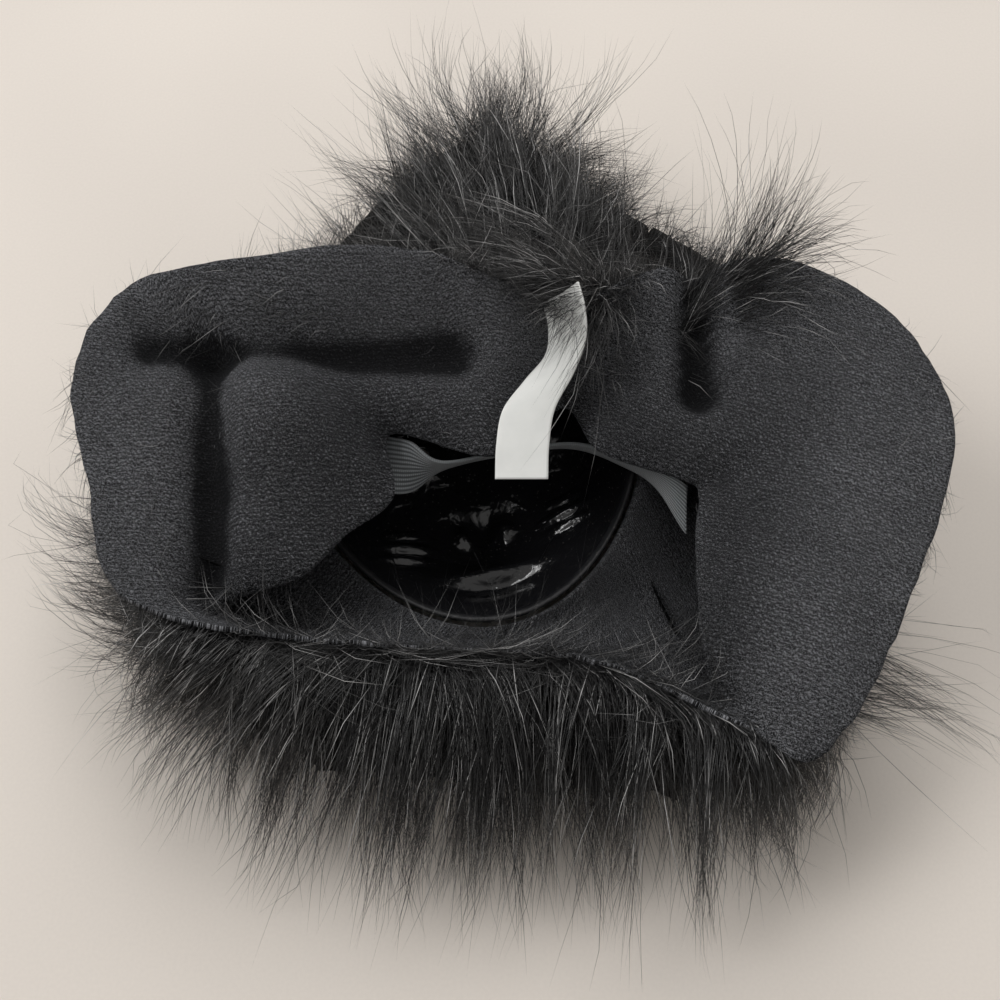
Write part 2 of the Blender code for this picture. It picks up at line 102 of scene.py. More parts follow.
def on_ground(disc_x, disc_y):
    """A place of the unit disc on the ground: the egg widens with disc_y, then all is turned."""
    across = SHELL_HALF_WIDTH * disc_x * (1 + SHELL_EGG * disc_y)
    along = SHELL_HALF_LENGTH * disc_y
    x = SHELL_CENTRE[0] + across * math.cos(SHELL_TURN) - along * math.sin(SHELL_TURN)
    y = SHELL_CENTRE[1] + across * math.sin(SHELL_TURN) + along * math.cos(SHELL_TURN)
    return x, y, across, along


def edge_height(disc_x, disc_y):
    """The edge rises towards the forehead and rolls to one side."""
    return SHELL_EDGE + SHELL_EDGE_RISE * disc_y + SHELL_EDGE_ROLL * disc_x


def face_surface(disc_x, disc_y):
    """The bowl low + (edge - low) r^n over the disc, less bells for the forms and rows of creases."""
    radius = np.hypot(disc_x, disc_y)
    x, y, across, along = on_ground(disc_x, disc_y)
    out = np.zeros_like(x)
    for _, at_x, at_y, height, wide, long in FACE_FORMS:
        out += height * np.exp(-(((across - at_x) / wide) ** 2) - ((along - at_y) / long) ** 2)
    for _, at_x, at_y, height, pitch, size in WRINKLES:
        near = np.exp(-(((across - at_x) / size) ** 2) - ((along - at_y) / size) ** 2)
        bend = (across - at_x) ** 2 / 60
        out += height * near * np.cos(2 * math.pi * (along - at_y + bend) / pitch)
    z = SHELL_LOW + (edge_height(disc_x, disc_y) - SHELL_LOW) * radius**SHELL_STEEPNESS
    z -= out * (1 - smooth(SHELL_FORMS_END, 1, radius))
    return np.stack([x, y, z], axis=-1), across, along


def grid_cells(rows, columns):
    """The four corners of each cell of a grid, anticlockwise, one row a cell."""
    low = (np.arange(rows - 1)[:, None] * columns + np.arange(columns - 1)).ravel()
    return np.stack([low, low + 1, low + columns + 1, low + columns], axis=1)


def add_piece(name, points, faces, surface):
    """An object from points in the tables' millimetres and faces with one number of corners."""
    mesh = bpy.data.meshes.new(name)
    count, corners = faces.shape
    placed = (np.asarray(points, float).reshape(-1, 3) - ORIGIN) * 0.001
    mesh.vertices.add(len(placed))
    mesh.vertices.foreach_set("co", placed.astype(np.float32).ravel())
    mesh.loops.add(count * corners)
    mesh.loops.foreach_set("vertex_index", faces.astype(np.int32).ravel())
    mesh.polygons.add(count)
    mesh.polygons.foreach_set("loop_start", np.arange(0, count * corners, corners, dtype=np.int32))
    mesh.update(calc_edges=True)
    mesh.shade_smooth()
    mesh.materials.append(surface)
    made = bpy.data.objects.new(name, mesh)
    bpy.context.scene.collection.objects.link(made)
    return made


def add_values(made, name, values):
    """A value at each point of an object, for its material to read."""
    layer = made.data.attributes.new(name, "FLOAT", "POINT")
    layer.data.foreach_set("value", np.asarray(values, np.float32).ravel())


def add_places(made, uv):
    """Places on the laid-out cloth for each corner of an object, as its UV map."""
    layer = made.data.uv_layers.new(name="rows")
    layer.data.foreach_set("uv", np.asarray(uv, np.float32).ravel())


def add_node(tree, kind, sockets=None, **settings):
    """A shader node with its settings, and each socket set to a value or linked to an output."""
    made = tree.nodes.new(kind)
    for key, value in settings.items():
        setattr(made, key, value)
    for key, value in (sockets or {}).items():
        if isinstance(value, bpy.types.NodeSocket):
            tree.links.new(value, made.inputs[key])
        else:
            made.inputs[key].default_value = value
    return made


def new_material(name, **sockets):
    """A material and its Principled shader, with constants on the shader's own sockets."""
    made = bpy.data.materials.new(name)
    made.use_nodes = True
    shader = made.node_tree.nodes["Principled BSDF"]
    shader.distribution = "GGX"
    for key, value in sockets.items():
        shader.inputs[key.replace("_", " ")].default_value = value
    return made, made.node_tree, shader


def between(tree, fac, low, high):
    """A mask turned into a range of values."""
    return add_node(tree, "ShaderNodeMapRange", {"Value": fac, "To Min": low, "To Max": high}).outputs[0]


vinyl, tree, shader = new_material("black_vinyl", Roughness=0.12, Coat_Weight=0.6, Coat_Roughness=0.06)
place = add_node(tree, "ShaderNodeTexCoord").outputs["Object"]
cloud = add_node(tree, "ShaderNodeTexNoise", {"Vector": place, "Scale": 55.0, "Detail": 4.0}).outputs[0]
dimple = add_node(tree, "ShaderNodeTexNoise", {"Vector": place, "Scale": 110.0, "Detail": 2.0,
                                                "Distortion": 0.8}).outputs[0]
scuff = add_node(tree, "ShaderNodeTexNoise", {"Vector": place, "Scale": 900.0, "Detail": 3.0}).outputs[0]
dust = add_node(tree, "ShaderNodeTexVoronoi", {"Vector": place, "Scale": 420.0}).outputs["Distance"]
dust_mask = add_node(tree, "ShaderNodeMapRange", {"Value": dust, "From Min": 0.1, "From Max": 0.16,
                                                  "To Min": 1.0, "To Max": 0.0}).outputs[0]
dusty = add_node(tree, "ShaderNodeMath", {0: dust_mask, 1: cloud}, operation="MULTIPLY").outputs[0]
tint = add_node(tree, "ShaderNodeMix", {"Factor": dusty, "A": (0.008, 0.008, 0.009, 1),
                                        "B": (0.10, 0.095, 0.085, 1)}, data_type="RGBA")
tree.links.new(tint.outputs["Result"], shader.inputs["Base Color"])
rim = add_node(tree, "ShaderNodeAttribute", {}, attribute_name="rim").outputs["Fac"]
gloss = add_node(tree, "ShaderNodeMath", {0: between(tree, cloud, 0.05, 0.22), 1: rim}, operation="MAXIMUM")
tree.links.new(gloss.outputs[0], shader.inputs["Roughness"])
coat = add_node(tree, "ShaderNodeMath", {0: 0.6, 1: rim}, operation="SUBTRACT")
tree.links.new(coat.outputs[0], shader.inputs["Coat Weight"])
lumps = add_node(tree, "ShaderNodeBump", {"Height": dimple, "Strength": 0.7, "Distance": 0.0024}).outputs[0]
fine = add_node(tree, "ShaderNodeBump", {"Height": scuff, "Strength": 0.12, "Distance": 0.0002,
                                         "Normal": lumps}).outputs[0]
tree.links.new(fine, shader.inputs["Normal"])

line = np.linspace(-1, 1, SHELL_LINES)
s, t = np.meshgrid(line, line, indexing="ij")
disc_x, disc_y = s * np.sqrt(1 - t**2 / 2), t * np.sqrt(1 - s**2 / 2)
for side in (-1, 1):
    # Places near an eye opening's ellipse are drawn onto it, so that the punched edge is clean
    off_x = disc_x * (1 + SHELL_EGG * disc_y) * SHELL_HALF_WIDTH - side * EYE_ACROSS
    off_y = disc_y * SHELL_HALF_LENGTH - EYE_ALONG
    reach = np.hypot(off_x / EYE_WIDE, off_y / EYE_LONG)
    near = (reach > 0.87) & (reach < 1.13)
    pull = np.where(near, 1 / np.maximum(reach, 0.5), 1) - 1
    disc_x = disc_x + pull * off_x / SHELL_HALF_WIDTH
    disc_y = disc_y + pull * off_y / SHELL_HALF_LENGTH
points, across, along = face_surface(disc_x, disc_y)
cells = grid_cells(SHELL_LINES, SHELL_LINES)
for side in (-1, 1):
    reach = np.hypot((across - side * EYE_ACROSS) / EYE_WIDE, (along - EYE_ALONG) / EYE_LONG).ravel()
    cells = cells[~(reach[cells].mean(axis=1) < 0.97)]
shell = add_piece("vinyl_face", points, cells, vinyl)
add_values(shell, "rim", RIM_DULL * smooth(*RIM_BAND, np.hypot(disc_x, disc_y)))
wall = shell.modifiers.new("wall", "SOLIDIFY")
wall.thickness, wall.offset = SHELL_WALL * 0.001, 0
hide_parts("face_shell")
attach(shell, "root")

# Hood
# Long-haired fur cloth in two halves, sewn to the shell's edge and to each other at the centre front
# and back. Its knit side faces in, and shows outside where the neck part is turned back as a cuff.
HOOD_WALL, SEAT = 2.0, 0.6
SECTION_COLUMNS = ("edge", "side_x", "side_y", "side_z", "drop", "fold_x", "fold_y", "fold_z",
                   "lift", "rim_x", "rim_y", "rim_z", "foot_x", "foot_y", "fur_end")
SECTIONS = (
    # name, edge, side x y z, drop, fold x y z, lift, rim x y z, foot x y, fur_end
    ("front", -90, 0, -58, 47, 0, 0, -65, 60, 0, 0, -70, 72, -6, -122, 5.7),
    ("front_right", -62, 36, -58, 46, 2, 38, -68, 61, 0, 39, -75, 73, 40, -124, 5.7),
    ("right_corner", -44, 78, -70, 43, 6, 78, -84, 63, 1, 88, -99, 74, 84, -124, 3.4),
    ("lobe_front", -32, 112, -84, 42, 10, 78, -62, 72, 6, 114, -112, 74, 122, -112, 2.9),
    ("lobe_low", -20, 132, -58, 42, 14, 78, -40, 74, 8, 141, -79, 84, 148, -74, 2.9),
    ("lobe_side", -6, 146, -18, 42, 16, 79, -20, 74, 9, 167, -26, 91, 166, -22, 2.9),
    ("lobe_wide", 10, 150, 28, 44, 16, 82, -2, 73, 9, 180, 20, 94, 170, 30, 2.9),
    ("lobe_back", 26, 140, 76, 46, 16, 74, 3, 75, 8, 165, 60, 99, 158, 84, 2.9),
    ("back_right", 42, 106, 116, 50, 12, 60, 7, 77, 4, 124, 87, 105, 118, 124, 2.9),
    ("panel_right", 62, 50, 156, 52, 10, 40, 14, 80, 0, 72, 84, 110, 56, 172, 2.9),
    ("notch", 84, -2, 194, 54, 12, 25, 33, 84, -2, 24, 70, 105, -4, 214, 2.9),
    ("panel_left", 102, -48, 162, 52, 10, -2, 9, 84, -4, -36, 82, 122, -56, 180, 2.9),
    ("back_left", 120, -86, 116, 50, 9, -45, 21, 80, 0, -100, 76, 124, -98, 128, 2.9),
    ("lobe_top", 138, -136, 86, 46, 16, -43, -9, 82, 6, -151, 67, 114, -150, 98, 2.9),
    ("left_wide", 156, -148, 44, 44, 16, -61, -24, 80, 4, -169, 31, 103, -170, 48, 2.9),
    ("left_side", 174, -146, 2, 42, 14, -78, -40, 76, 3, -159, -8, 96, -168, -4, 2.9),
    ("left_corner", 194, -132, -36, 42, 10, -108, -50, 70, 3, -143, -53, 88, -150, -60, 3.2),
    ("front_left", 216, -86, -50, 43, 4, -87, -60, 62, 1, -88, -66, 80, -98, -100, 5.0),
    ("front_mid", 243, -38, -56, 46, 0, -39, -64, 61, 0, -40, -69, 75, -48, -118, 5.7),
)
ROUND = len(SECTIONS)
BELLY_SHARE, CREST_SHARE, CREST_RISE = 0.45, 0.5, 0.68
FOLDS_START, FOLDS_FULL = 4.1, 4.8
FOLDS = (
    # name, x0, y0, x1, y1, height, half-width
    ("right_crease", 82, 86, 81, 36, -14, 9),
    ("left_crease", -116, 44, -112, -44, -13, 10),
    ("left_shadow", -140, 47, -20, 50, -11, 11),
    ("left_bulge", -84, 16, -64, 2, 9, 26),
    ("right_panel_dip", 54, 44, 56, 60, -5, 14),
)


def spline(points, place):
    """Catmull-Rom along the first axis at whole-array places, ends carried on in a straight line."""
    points = np.concatenate([2 * points[:1] - points[1:2], points, 2 * points[-1:] - points[-2:-1]])
    low = np.clip(np.floor(place).astype(int), 0, len(points) - 4)
    t = (place - low).reshape(place.shape + (1,) * (points.ndim - 1))
    weights = ((-t + 2 * t**2 - t**3) / 2, (2 - 5 * t**2 + 3 * t**3) / 2,
               (t + 4 * t**2 - 3 * t**3) / 2, (-(t**2) + t**3) / 2)
    return sum(w * points[low + k] for k, w in enumerate(weights))


def section_at(u):
    """The columns of the section table at places u round the hood, as a closed spline."""
    table = np.array([row[1:] for row in SECTIONS], float)
    rounds = np.concatenate([table[-2:], table, table[:3]])
    u = np.mod(np.asarray(u, float), ROUND)
    values = spline(rounds, u + 2)
    turns = np.append(table[:, 0], table[0, 0] + 360)
    values[..., 0] = np.interp(u, np.arange(ROUND + 1), turns)
    return {name: values[..., k] for k, name in enumerate(SECTION_COLUMNS)}


def fold_height(x, y):
    """Sum of the folds: each is a bell across the line from its first place to its last."""
    total = np.zeros_like(x)
    for _, x0, y0, x1, y1, height, half_width in FOLDS:
        length2 = (x1 - x0) ** 2 + (y1 - y0) ** 2
        share = np.clip(((x - x0) * (x1 - x0) + (y - y0) * (y1 - y0)) / length2, 0, 1)
        far2 = (x - x0 - share * (x1 - x0)) ** 2 + (y - y0 - share * (y1 - y0)) ** 2
        total += height * np.exp(-far2 / half_width**2)
    return total


def hood_surface(u, v):
    """The hood's middle surface: u counts sections round it, and v runs along a section from the
    shell's edge at 0 past the side at 2 and the fold at 4 to the cut rim at 6, on a spline."""
    u, v = np.broadcast_arrays(np.asarray(u, float), np.asarray(v, float))
    c = section_at(u)
    turn = np.radians(c["edge"])
    grow = 1 + (HOOD_WALL / 2 + SHELL_WALL / 2 + SEAT) / SHELL_HALF_WIDTH
    edge_x, edge_y, _, _ = on_ground(grow * np.cos(turn), grow * np.sin(turn))
    edge = np.stack([edge_x, edge_y, edge_height(np.cos(turn), np.sin(turn))], axis=-1)
    side = np.stack([c["side_x"], c["side_y"], c["side_z"]], axis=-1)
    fold = np.stack([c["fold_x"], c["fold_y"], c["fold_z"]], axis=-1)
    rim = np.stack([c["rim_x"], c["rim_y"], c["rim_z"]], axis=-1)
    belly = edge + BELLY_SHARE * (side - edge)
    belly[..., 2] = np.minimum(edge[..., 2], side[..., 2]) - c["drop"]
    crest = side + CREST_SHARE * (fold - side)
    crest[..., 2] = side[..., 2] + CREST_RISE * (fold[..., 2] - side[..., 2])
    middle = (fold + rim) / 2
    middle[..., 2] += c["lift"]
    path = np.stack([2 * edge - belly, edge, belly, side, crest, fold, middle, rim, 2 * rim - middle])
    low = np.clip(np.floor(v).astype(int), 0, 5)
    t = (v - low)[..., None]
    weights = ((-t + 2 * t**2 - t**3) / 2, (2 - 5 * t**2 + 3 * t**3) / 2,
               (t + 4 * t**2 - 3 * t**3) / 2, (-(t**2) + t**3) / 2)
    spots = [np.take_along_axis(path, (low + k)[None, ..., None], axis=0)[0] for k in range(4)]
    points = sum(w * p for w, p in zip(weights, spots))
    points[..., 2] += smooth(FOLDS_START, FOLDS_FULL, v) * fold_height(points[..., 0], points[..., 1])
    return points


def hood_normal(u, v, step=0.02):
    """Unit normals on the fur side: the cross product of the steps along v and along u."""
    along_u = hood_surface(u + step, v) - hood_surface(u - step, v)
    along_v = hood_surface(u, v + step) - hood_surface(u, v - step)
    normal = np.cross(along_u, along_v)
    return normal / np.maximum(np.linalg.norm(normal, axis=-1, keepdims=True), 1e-9)


def soft_noise(x, y, seed, octaves=4):
    """Smooth noise of about -1 to 1: a sum of sines whose directions and phases are drawn once."""
    draw = np.random.default_rng(seed)
    total = 0.0 * (x + y)
    for octave in range(octaves):
        for _ in range(4):
            angle, phase = draw.uniform(0, 2 * math.pi, 2)
            rate = 2.0**octave
            wave = np.sin(rate * (x * math.cos(angle) + y * math.sin(angle)) + phase)
            total += wave / (2 * rate**0.8)
    return total / 2


# The knit's rows and stitches, as height and as a mask of the worn, lighter loops
rows_group = bpy.data.node_groups.new("knit_rows", "ShaderNodeTree")
for name, kind in (("Vector", "NodeSocketVector"), ("Row", "NodeSocketFloat"), ("Stitch", "NodeSocketFloat")):
    rows_group.interface.new_socket(name, in_out="INPUT", socket_type=kind)
for name in ("Height", "Loops"):
    rows_group.interface.new_socket(name, in_out="OUTPUT", socket_type="NodeSocketFloat")
given = add_node(rows_group, "NodeGroupInput")
wobble = add_node(rows_group, "ShaderNodeTexNoise", {"Vector": given.outputs[0], "Scale": 0.22,
                                                    "Detail": 0.0}, noise_dimensions="2D")
shaken = add_node(rows_group, "ShaderNodeVectorMath", {0: wobble.outputs[1], 1: (0.5, 0.5, 0.5)},
                  operation="SUBTRACT")
shaken = add_node(rows_group, "ShaderNodeVectorMath", {0: shaken.outputs[0], 1: (1.6, 1.6, 0.0),
                                                       2: given.outputs[0]}, operation="MULTIPLY_ADD")
parts = add_node(rows_group, "ShaderNodeSeparateXYZ", {0: shaken.outputs[0]})


def math_node(tree, operation, first, second=0.0):
    """One step of arithmetic on a value."""
    return add_node(tree, "ShaderNodeMath", {0: first, 1: second}, operation=operation).outputs[0]


def cosine_bands(tree, value, pitch):
    """Bands from 0 to 1 with a pitch: (1 + cos(2 pi value / pitch)) / 2."""
    turn = math_node(tree, "MULTIPLY", math_node(tree, "DIVIDE", value, pitch), 2 * math.pi)
    return math_node(tree, "MULTIPLY", math_node(tree, "ADD", math_node(tree, "COSINE", turn), 1.0), 0.5)


jitter = add_node(rows_group, "ShaderNodeTexNoise", {"Vector": given.outputs[0], "Scale": 0.6, "Detail": 0.0},
                  noise_dimensions="2D")
row_place = math_node(rows_group, "ADD", parts.outputs["Y"],
                      math_node(rows_group, "MULTIPLY", jitter.outputs[0], 1.8))
row_bands = cosine_bands(rows_group, row_place, given.outputs["Row"])
slant = math_node(rows_group, "ADD", parts.outputs["X"],
                  math_node(rows_group, "MULTIPLY", parts.outputs["Y"], 0.7))
stitch_bands = cosine_bands(rows_group, slant, given.outputs["Stitch"])
loops = math_node(rows_group, "MULTIPLY", row_bands, math_node(
    rows_group, "ADD", math_node(rows_group, "MULTIPLY", stitch_bands, 0.5), 0.5))
drawn = add_node(rows_group, "ShaderNodeVectorMath", {0: given.outputs[0], 1: (0.75, 1.7, 0.0)},
                 operation="MULTIPLY")
fluff = add_node(rows_group, "ShaderNodeTexNoise", {"Vector": drawn.outputs[0], "Scale": 1.0, "Detail": 2.0,
                                                    "Roughness": 0.75}, noise_dimensions="2D")
dashes = add_node(rows_group, "ShaderNodeMapRange", {"Value": fluff.outputs[0], "From Min": 0.46,
                                                    "From Max": 0.66})
loops_squared = math_node(rows_group, "MULTIPLY", loops, loops)
dashed = math_node(rows_group, "MULTIPLY", loops_squared, dashes.outputs[0])
rough_loops = math_node(rows_group, "ADD", math_node(rows_group, "MULTIPLY", dashed, 1.7),
                        math_node(rows_group, "MULTIPLY", loops, 0.08))
height = math_node(rows_group, "ADD", rough_loops, math_node(rows_group, "MULTIPLY", fluff.outputs[0], 0.9))
put_out = add_node(rows_group, "NodeGroupOutput", {"Height": height, "Loops": rough_loops})

knit, tree, shader = new_material("charcoal_knit", Roughness=0.8, Sheen_Weight=0.02, Sheen_Roughness=0.4)
shader.inputs["Sheen Tint"].default_value = (0.75, 0.78, 0.86, 1)
shader.inputs["Specular IOR Level"].default_value = 0.1
rows_uv = add_node(tree, "ShaderNodeUVMap", uv_map="rows").outputs[0]
knit_rows = add_node(tree, "ShaderNodeGroup", {}, node_tree=rows_group)
tree.links.new(rows_uv, knit_rows.inputs["Vector"])
knit_rows.inputs["Row"].default_value, knit_rows.inputs["Stitch"].default_value = 1.8, 1.7
patches = add_node(tree, "ShaderNodeTexNoise", {"Vector": rows_uv, "Scale": 0.03, "Detail": 0.0},
                   noise_dimensions="2D").outputs[0]
specks = add_node(tree, "ShaderNodeTexNoise", {"Vector": rows_uv, "Scale": 3.5, "Detail": 0.0,
                                               "Roughness": 0.8}, noise_dimensions="2D").outputs[0]
speck_mask = add_node(tree, "ShaderNodeMapRange", {"Value": specks, "From Min": 0.6,
                                                   "From Max": 0.78}).outputs[0]
loops_lit = math_node(tree, "MULTIPLY", knit_rows.outputs["Loops"], between(tree, patches, 0.5, 1.3))
lit = math_node(tree, "ADD", loops_lit, math_node(tree, "MULTIPLY", speck_mask, 0.9))
# Painted shade and light: the attribute read here darkens the knit in deep folds and beside the cuff's fold,
# and lightens it towards the cuff's rim.
painted_shading = add_node(tree, "ShaderNodeAttribute", {}, attribute_name="painted_shading").outputs["Fac"]
shaded_loops = math_node(tree, "MULTIPLY", lit, painted_shading)
yarn = add_node(tree, "ShaderNodeMix", {"Factor": shaded_loops, "A": (0.0025, 0.0025, 0.003, 1),
                                        "B": (0.27, 0.274, 0.29, 1)}, data_type="RGBA")
tree.links.new(yarn.outputs["Result"], shader.inputs["Base Color"])
knit_bump = add_node(tree, "ShaderNodeBump", {"Height": knit_rows.outputs["Height"], "Strength": 0.9,
                                              "Distance": 0.0007}).outputs[0]
tree.links.new(knit_bump, shader.inputs["Normal"])

HOOD_COLUMNS_A_SECTION, HOOD_ROWS = 10, 103
FOLD_REACH = 6


def blurred(values, width):
    """A grid's values, each the mean of its neighbours with the weights exp(-(steps / width)^2 / 2)."""
    steps = np.arange(-3 * width, 3 * width + 1)
    weights = np.exp(-((steps / width) ** 2) / 2)
    weights /= weights.sum()
    for axis in (0, 1):
        around = [(3 * width, 3 * width) if k == axis else (0, 0) for k in (0, 1)]
        wide = np.pad(values, around, mode="edge")
        values = sum(weight * np.take(wide, range(k, k + values.shape[axis]), axis=axis)
                     for k, weight in enumerate(weights))
    return values


CUT_WAVE, SEAM_GAP, DENT = 1.0, 0.004, 0.8
ROW_SLOPES = {"hood_right": -24, "hood_left": 3}


def rows_over(half, points, v):
    """Places on the cloth laid flat. The cuff lies out from the fold by the arc length along each
    section, turned by the slope of its rows; the inner wall by its lengths along and round."""
    steps = np.linalg.norm(np.diff(points, axis=1), axis=-1)
    arc = np.concatenate([np.zeros((len(points), 1)), np.cumsum(steps, axis=1)], axis=1)
    at_fold = np.abs(v[0] - 4).argmin()
    fold, rim = points[:, at_fold, :2], points[:, -1, :2]
    out = rim - fold
    out /= np.maximum(np.linalg.norm(out, axis=-1, keepdims=True), 1)
    flat = fold[:, None] + (arc - arc[:, at_fold : at_fold + 1])[..., None] * out[:, None]
    slope = math.radians(ROW_SLOPES[half])
    cuff = np.stack([flat[..., 0] * math.cos(slope) + flat[..., 1] * math.sin(slope),
                     -flat[..., 0] * math.sin(slope) + flat[..., 1] * math.cos(slope)], axis=-1)
    round_it = np.linalg.norm(np.diff(points[:, at_fold], axis=0), axis=-1)
    round_it = np.concatenate([[0], np.cumsum(round_it)])[:, None]
    inner = np.stack(np.broadcast_arrays(arc, round_it), axis=-1)
    return cuff, inner


for half, first, last in (("hood_right", 0, 10), ("hood_left", 10, ROUND)):
    count = (last - first) * HOOD_COLUMNS_A_SECTION + 1
    u = np.linspace(first + SEAM_GAP, last - SEAM_GAP, count)[:, None]
    v = np.linspace(0, 6, HOOD_ROWS)[None, :]
    points = hood_surface(u, v)
    normal = hood_normal(u, v)
    from_seams = (u - first) / (last - first) * (last - u) / (last - first) * 4
    free = smooth(3.6, 4.6, v) * smooth(0.0, 0.12, from_seams)
    dents = soft_noise(points[..., 0] / 17, points[..., 1] / 17, 3) + 0.5 * soft_noise(
        points[..., 0] / 7, points[..., 1] / 7, 5)
    points = points + (DENT * free * dents)[..., None] * normal
    near_rim = smooth(5.8, 6.0, v)
    frayed = CUT_WAVE * soft_noise(u * 9 + 0 * v, u * 4 + 0 * v, 9)
    out = points[:, -1:] - points[:, -4:-3]
    out /= np.linalg.norm(out, axis=-1, keepdims=True)
    points = points + (near_rim * frayed)[..., None] * out
    cells = grid_cells(count, HOOD_ROWS)
    panel = add_piece("knit_" + half, points, cells[:, ::-1], knit)
    cuff, inner = (places.reshape(-1, 2)[cells[:, ::-1]] for places in rows_over(half, points, v))
    on_cuff = np.broadcast_to(v, (count, HOOD_ROWS)).ravel()[cells].mean(axis=1) > 4
    add_places(panel, np.where(on_cuff[:, None, None], cuff, inner))
    wall = panel.modifiers.new("wall", "SOLIDIFY")
    wall.thickness, wall.offset = HOOD_WALL * 0.001, 0
    # Painted shade and light: darker where the knit lies below the blurred surface around it and on the cuff
    # next to its fold, lighter towards the cuff's rim.
    depth = blurred(points[..., 2], FOLD_REACH) - points[..., 2]
    in_fold = smooth(0.2, 4.5, depth) * smooth(3.9, 4.3, v)
    painted_shading = (1 - 0.9 * in_fold) * (1 + smooth(3.9, 4.3, v) * (0.9 * smooth(4.4, 5.3, v) - 0.4))
    add_values(panel, "painted_shading", painted_shading)
    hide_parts(half)
    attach(panel, "root")

# Head strap
# Grey ribbed elastic across the head space, drawn thin in the middle and spread where it is sewn on.
# Its ribs run along it.
STRAP_THICK = 1.2
STRAP_PATH = (
    # x, y, z, lean in degrees, width
    (-49, 12, 69, 72, 24),
    (-38, 11, 69, 50, 22),
    (-24, 12, 68, -15, 14),
    (0, 18, 67, -22, 12),
    (30, 22, 67, -20, 12),
    (52, 14, 68, -10, 12),
    (66, 6, 67, 10, 13),
    (77, -6, 63, 62, 20),
)
STRAP_ROWS, STRAP_COLUMNS = 100, 17

elastic, tree, shader = new_material("grey_elastic", Roughness=0.75, Sheen_Weight=0.3)
strap_uv = add_node(tree, "ShaderNodeUVMap", uv_map="rows").outputs[0]
strap_parts = add_node(tree, "ShaderNodeSeparateXYZ", {0: strap_uv})
ribs = cosine_bands(tree, strap_parts.outputs["Y"], 1.3)
picks = cosine_bands(tree, strap_parts.outputs["X"], 0.8)
half_picks = math_node(tree, "ADD", math_node(tree, "MULTIPLY", picks, 0.5), 0.5)
weave = math_node(tree, "MULTIPLY", ribs, half_picks)
thread = add_node(tree, "ShaderNodeMix", {"Factor": weave, "A": (0.05, 0.055, 0.058, 1),
                                          "B": (0.32, 0.34, 0.35, 1)}, data_type="RGBA")
tree.links.new(thread.outputs["Result"], shader.inputs["Base Color"])
strap_bump = add_node(tree, "ShaderNodeBump", {"Height": weave, "Strength": 0.8,
                                               "Distance": 0.0005}).outputs[0]
tree.links.new(strap_bump, shader.inputs["Normal"])


def band_surface(path, places, shares, direction):
    """A strip along a spline: centre + share of the half-width along a direction that turns."""
    values = spline(np.array(path, float), places)
    across = direction(np.radians(values[:, 3])) * values[:, 4:] / 2
    return values[:, None, :3] + across[:, None] * shares[None, :, None]


def add_band(name, path, rows, columns, direction, surface, thick, replaced):
    """A strip with its wall, its places along and across in millimetres as its UV map."""
    places = np.linspace(0, len(path) - 1, rows)
    shares = np.linspace(1, -1, columns)
    points = band_surface(path, places, shares, direction)
    cells = grid_cells(rows, columns)
    band = add_piece(name, points, cells, surface)
    steps = np.linalg.norm(np.diff(points[:, columns // 2], axis=0), axis=-1)
    along = np.concatenate([[0], np.cumsum(steps)])
    width = np.array(path, float)[:, 4].mean()
    uv = np.stack(np.broadcast_arrays(along[:, None], shares[None] * width / 2), axis=-1)
    add_places(band, uv.reshape(-1, 2)[cells.ravel()])
    wall = band.modifiers.new("wall", "SOLIDIFY")
    wall.thickness, wall.offset = thick * 0.001, 0
    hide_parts(replaced)
    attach(band, "root")
    return band


def strap_direction(lean):
    """Across the strap: upright, leaning towards the chin."""
    return np.stack([0 * lean, -np.sin(lean), -np.cos(lean)], axis=-1)


strap = add_band("elastic_strap", STRAP_PATH, STRAP_ROWS, STRAP_COLUMNS, strap_direction, elastic,
                 STRAP_THICK, "head_strap")

# Care label
# A blank white satin tape sewn into the centre back seam, curling over into the opening. It is one
# woven strip with sealed edges.
LABEL_WIDTH, LABEL_THICK = 21.0, 0.8
LABEL_PATH = (
    # x, y, z, tilt of its width in degrees, width
    (24.5, 66, 113, 52, LABEL_WIDTH),
    (26.5, 56, 111, 50, LABEL_WIDTH),
    (26, 45, 107, 42, LABEL_WIDTH),
    (19.5, 34, 102, 20, LABEL_WIDTH),
    (11.5, 22, 97, 5, LABEL_WIDTH),
    (9, 9, 92, 0, LABEL_WIDTH),
    (8.5, -4, 87, 0, LABEL_WIDTH),
)

satin, tree, shader = new_material("white_satin", Roughness=0.45, Sheen_Weight=0.2)
label_uv = add_node(tree, "ShaderNodeUVMap", uv_map="rows").outputs[0]
label_parts = add_node(tree, "ShaderNodeSeparateXYZ", {0: label_uv})
satin_rows = cosine_bands(tree, label_parts.outputs["X"], 0.35)
stain = add_node(tree, "ShaderNodeTexNoise", {"Vector": label_uv, "Scale": 0.12, "Detail": 4.0}).outputs[0]
satin_tint = add_node(tree, "ShaderNodeMix", {"Factor": stain, "A": (0.88, 0.88, 0.85, 1),
                                              "B": (0.74, 0.75, 0.72, 1)}, data_type="RGBA")
tree.links.new(satin_tint.outputs["Result"], shader.inputs["Base Color"])
satin_bump = add_node(tree, "ShaderNodeBump", {"Height": satin_rows, "Strength": 0.3,
                                               "Distance": 0.0002}).outputs[0]
tree.links.new(satin_bump, shader.inputs["Normal"])


def label_direction(tilt):
    """Across the label: level, tilting up to the right."""
    return np.stack([np.cos(tilt), 0 * tilt, np.sin(tilt)], axis=-1)


label = add_band("satin_label", LABEL_PATH, 90, 21, label_direction, satin, LABEL_THICK, "care_label")

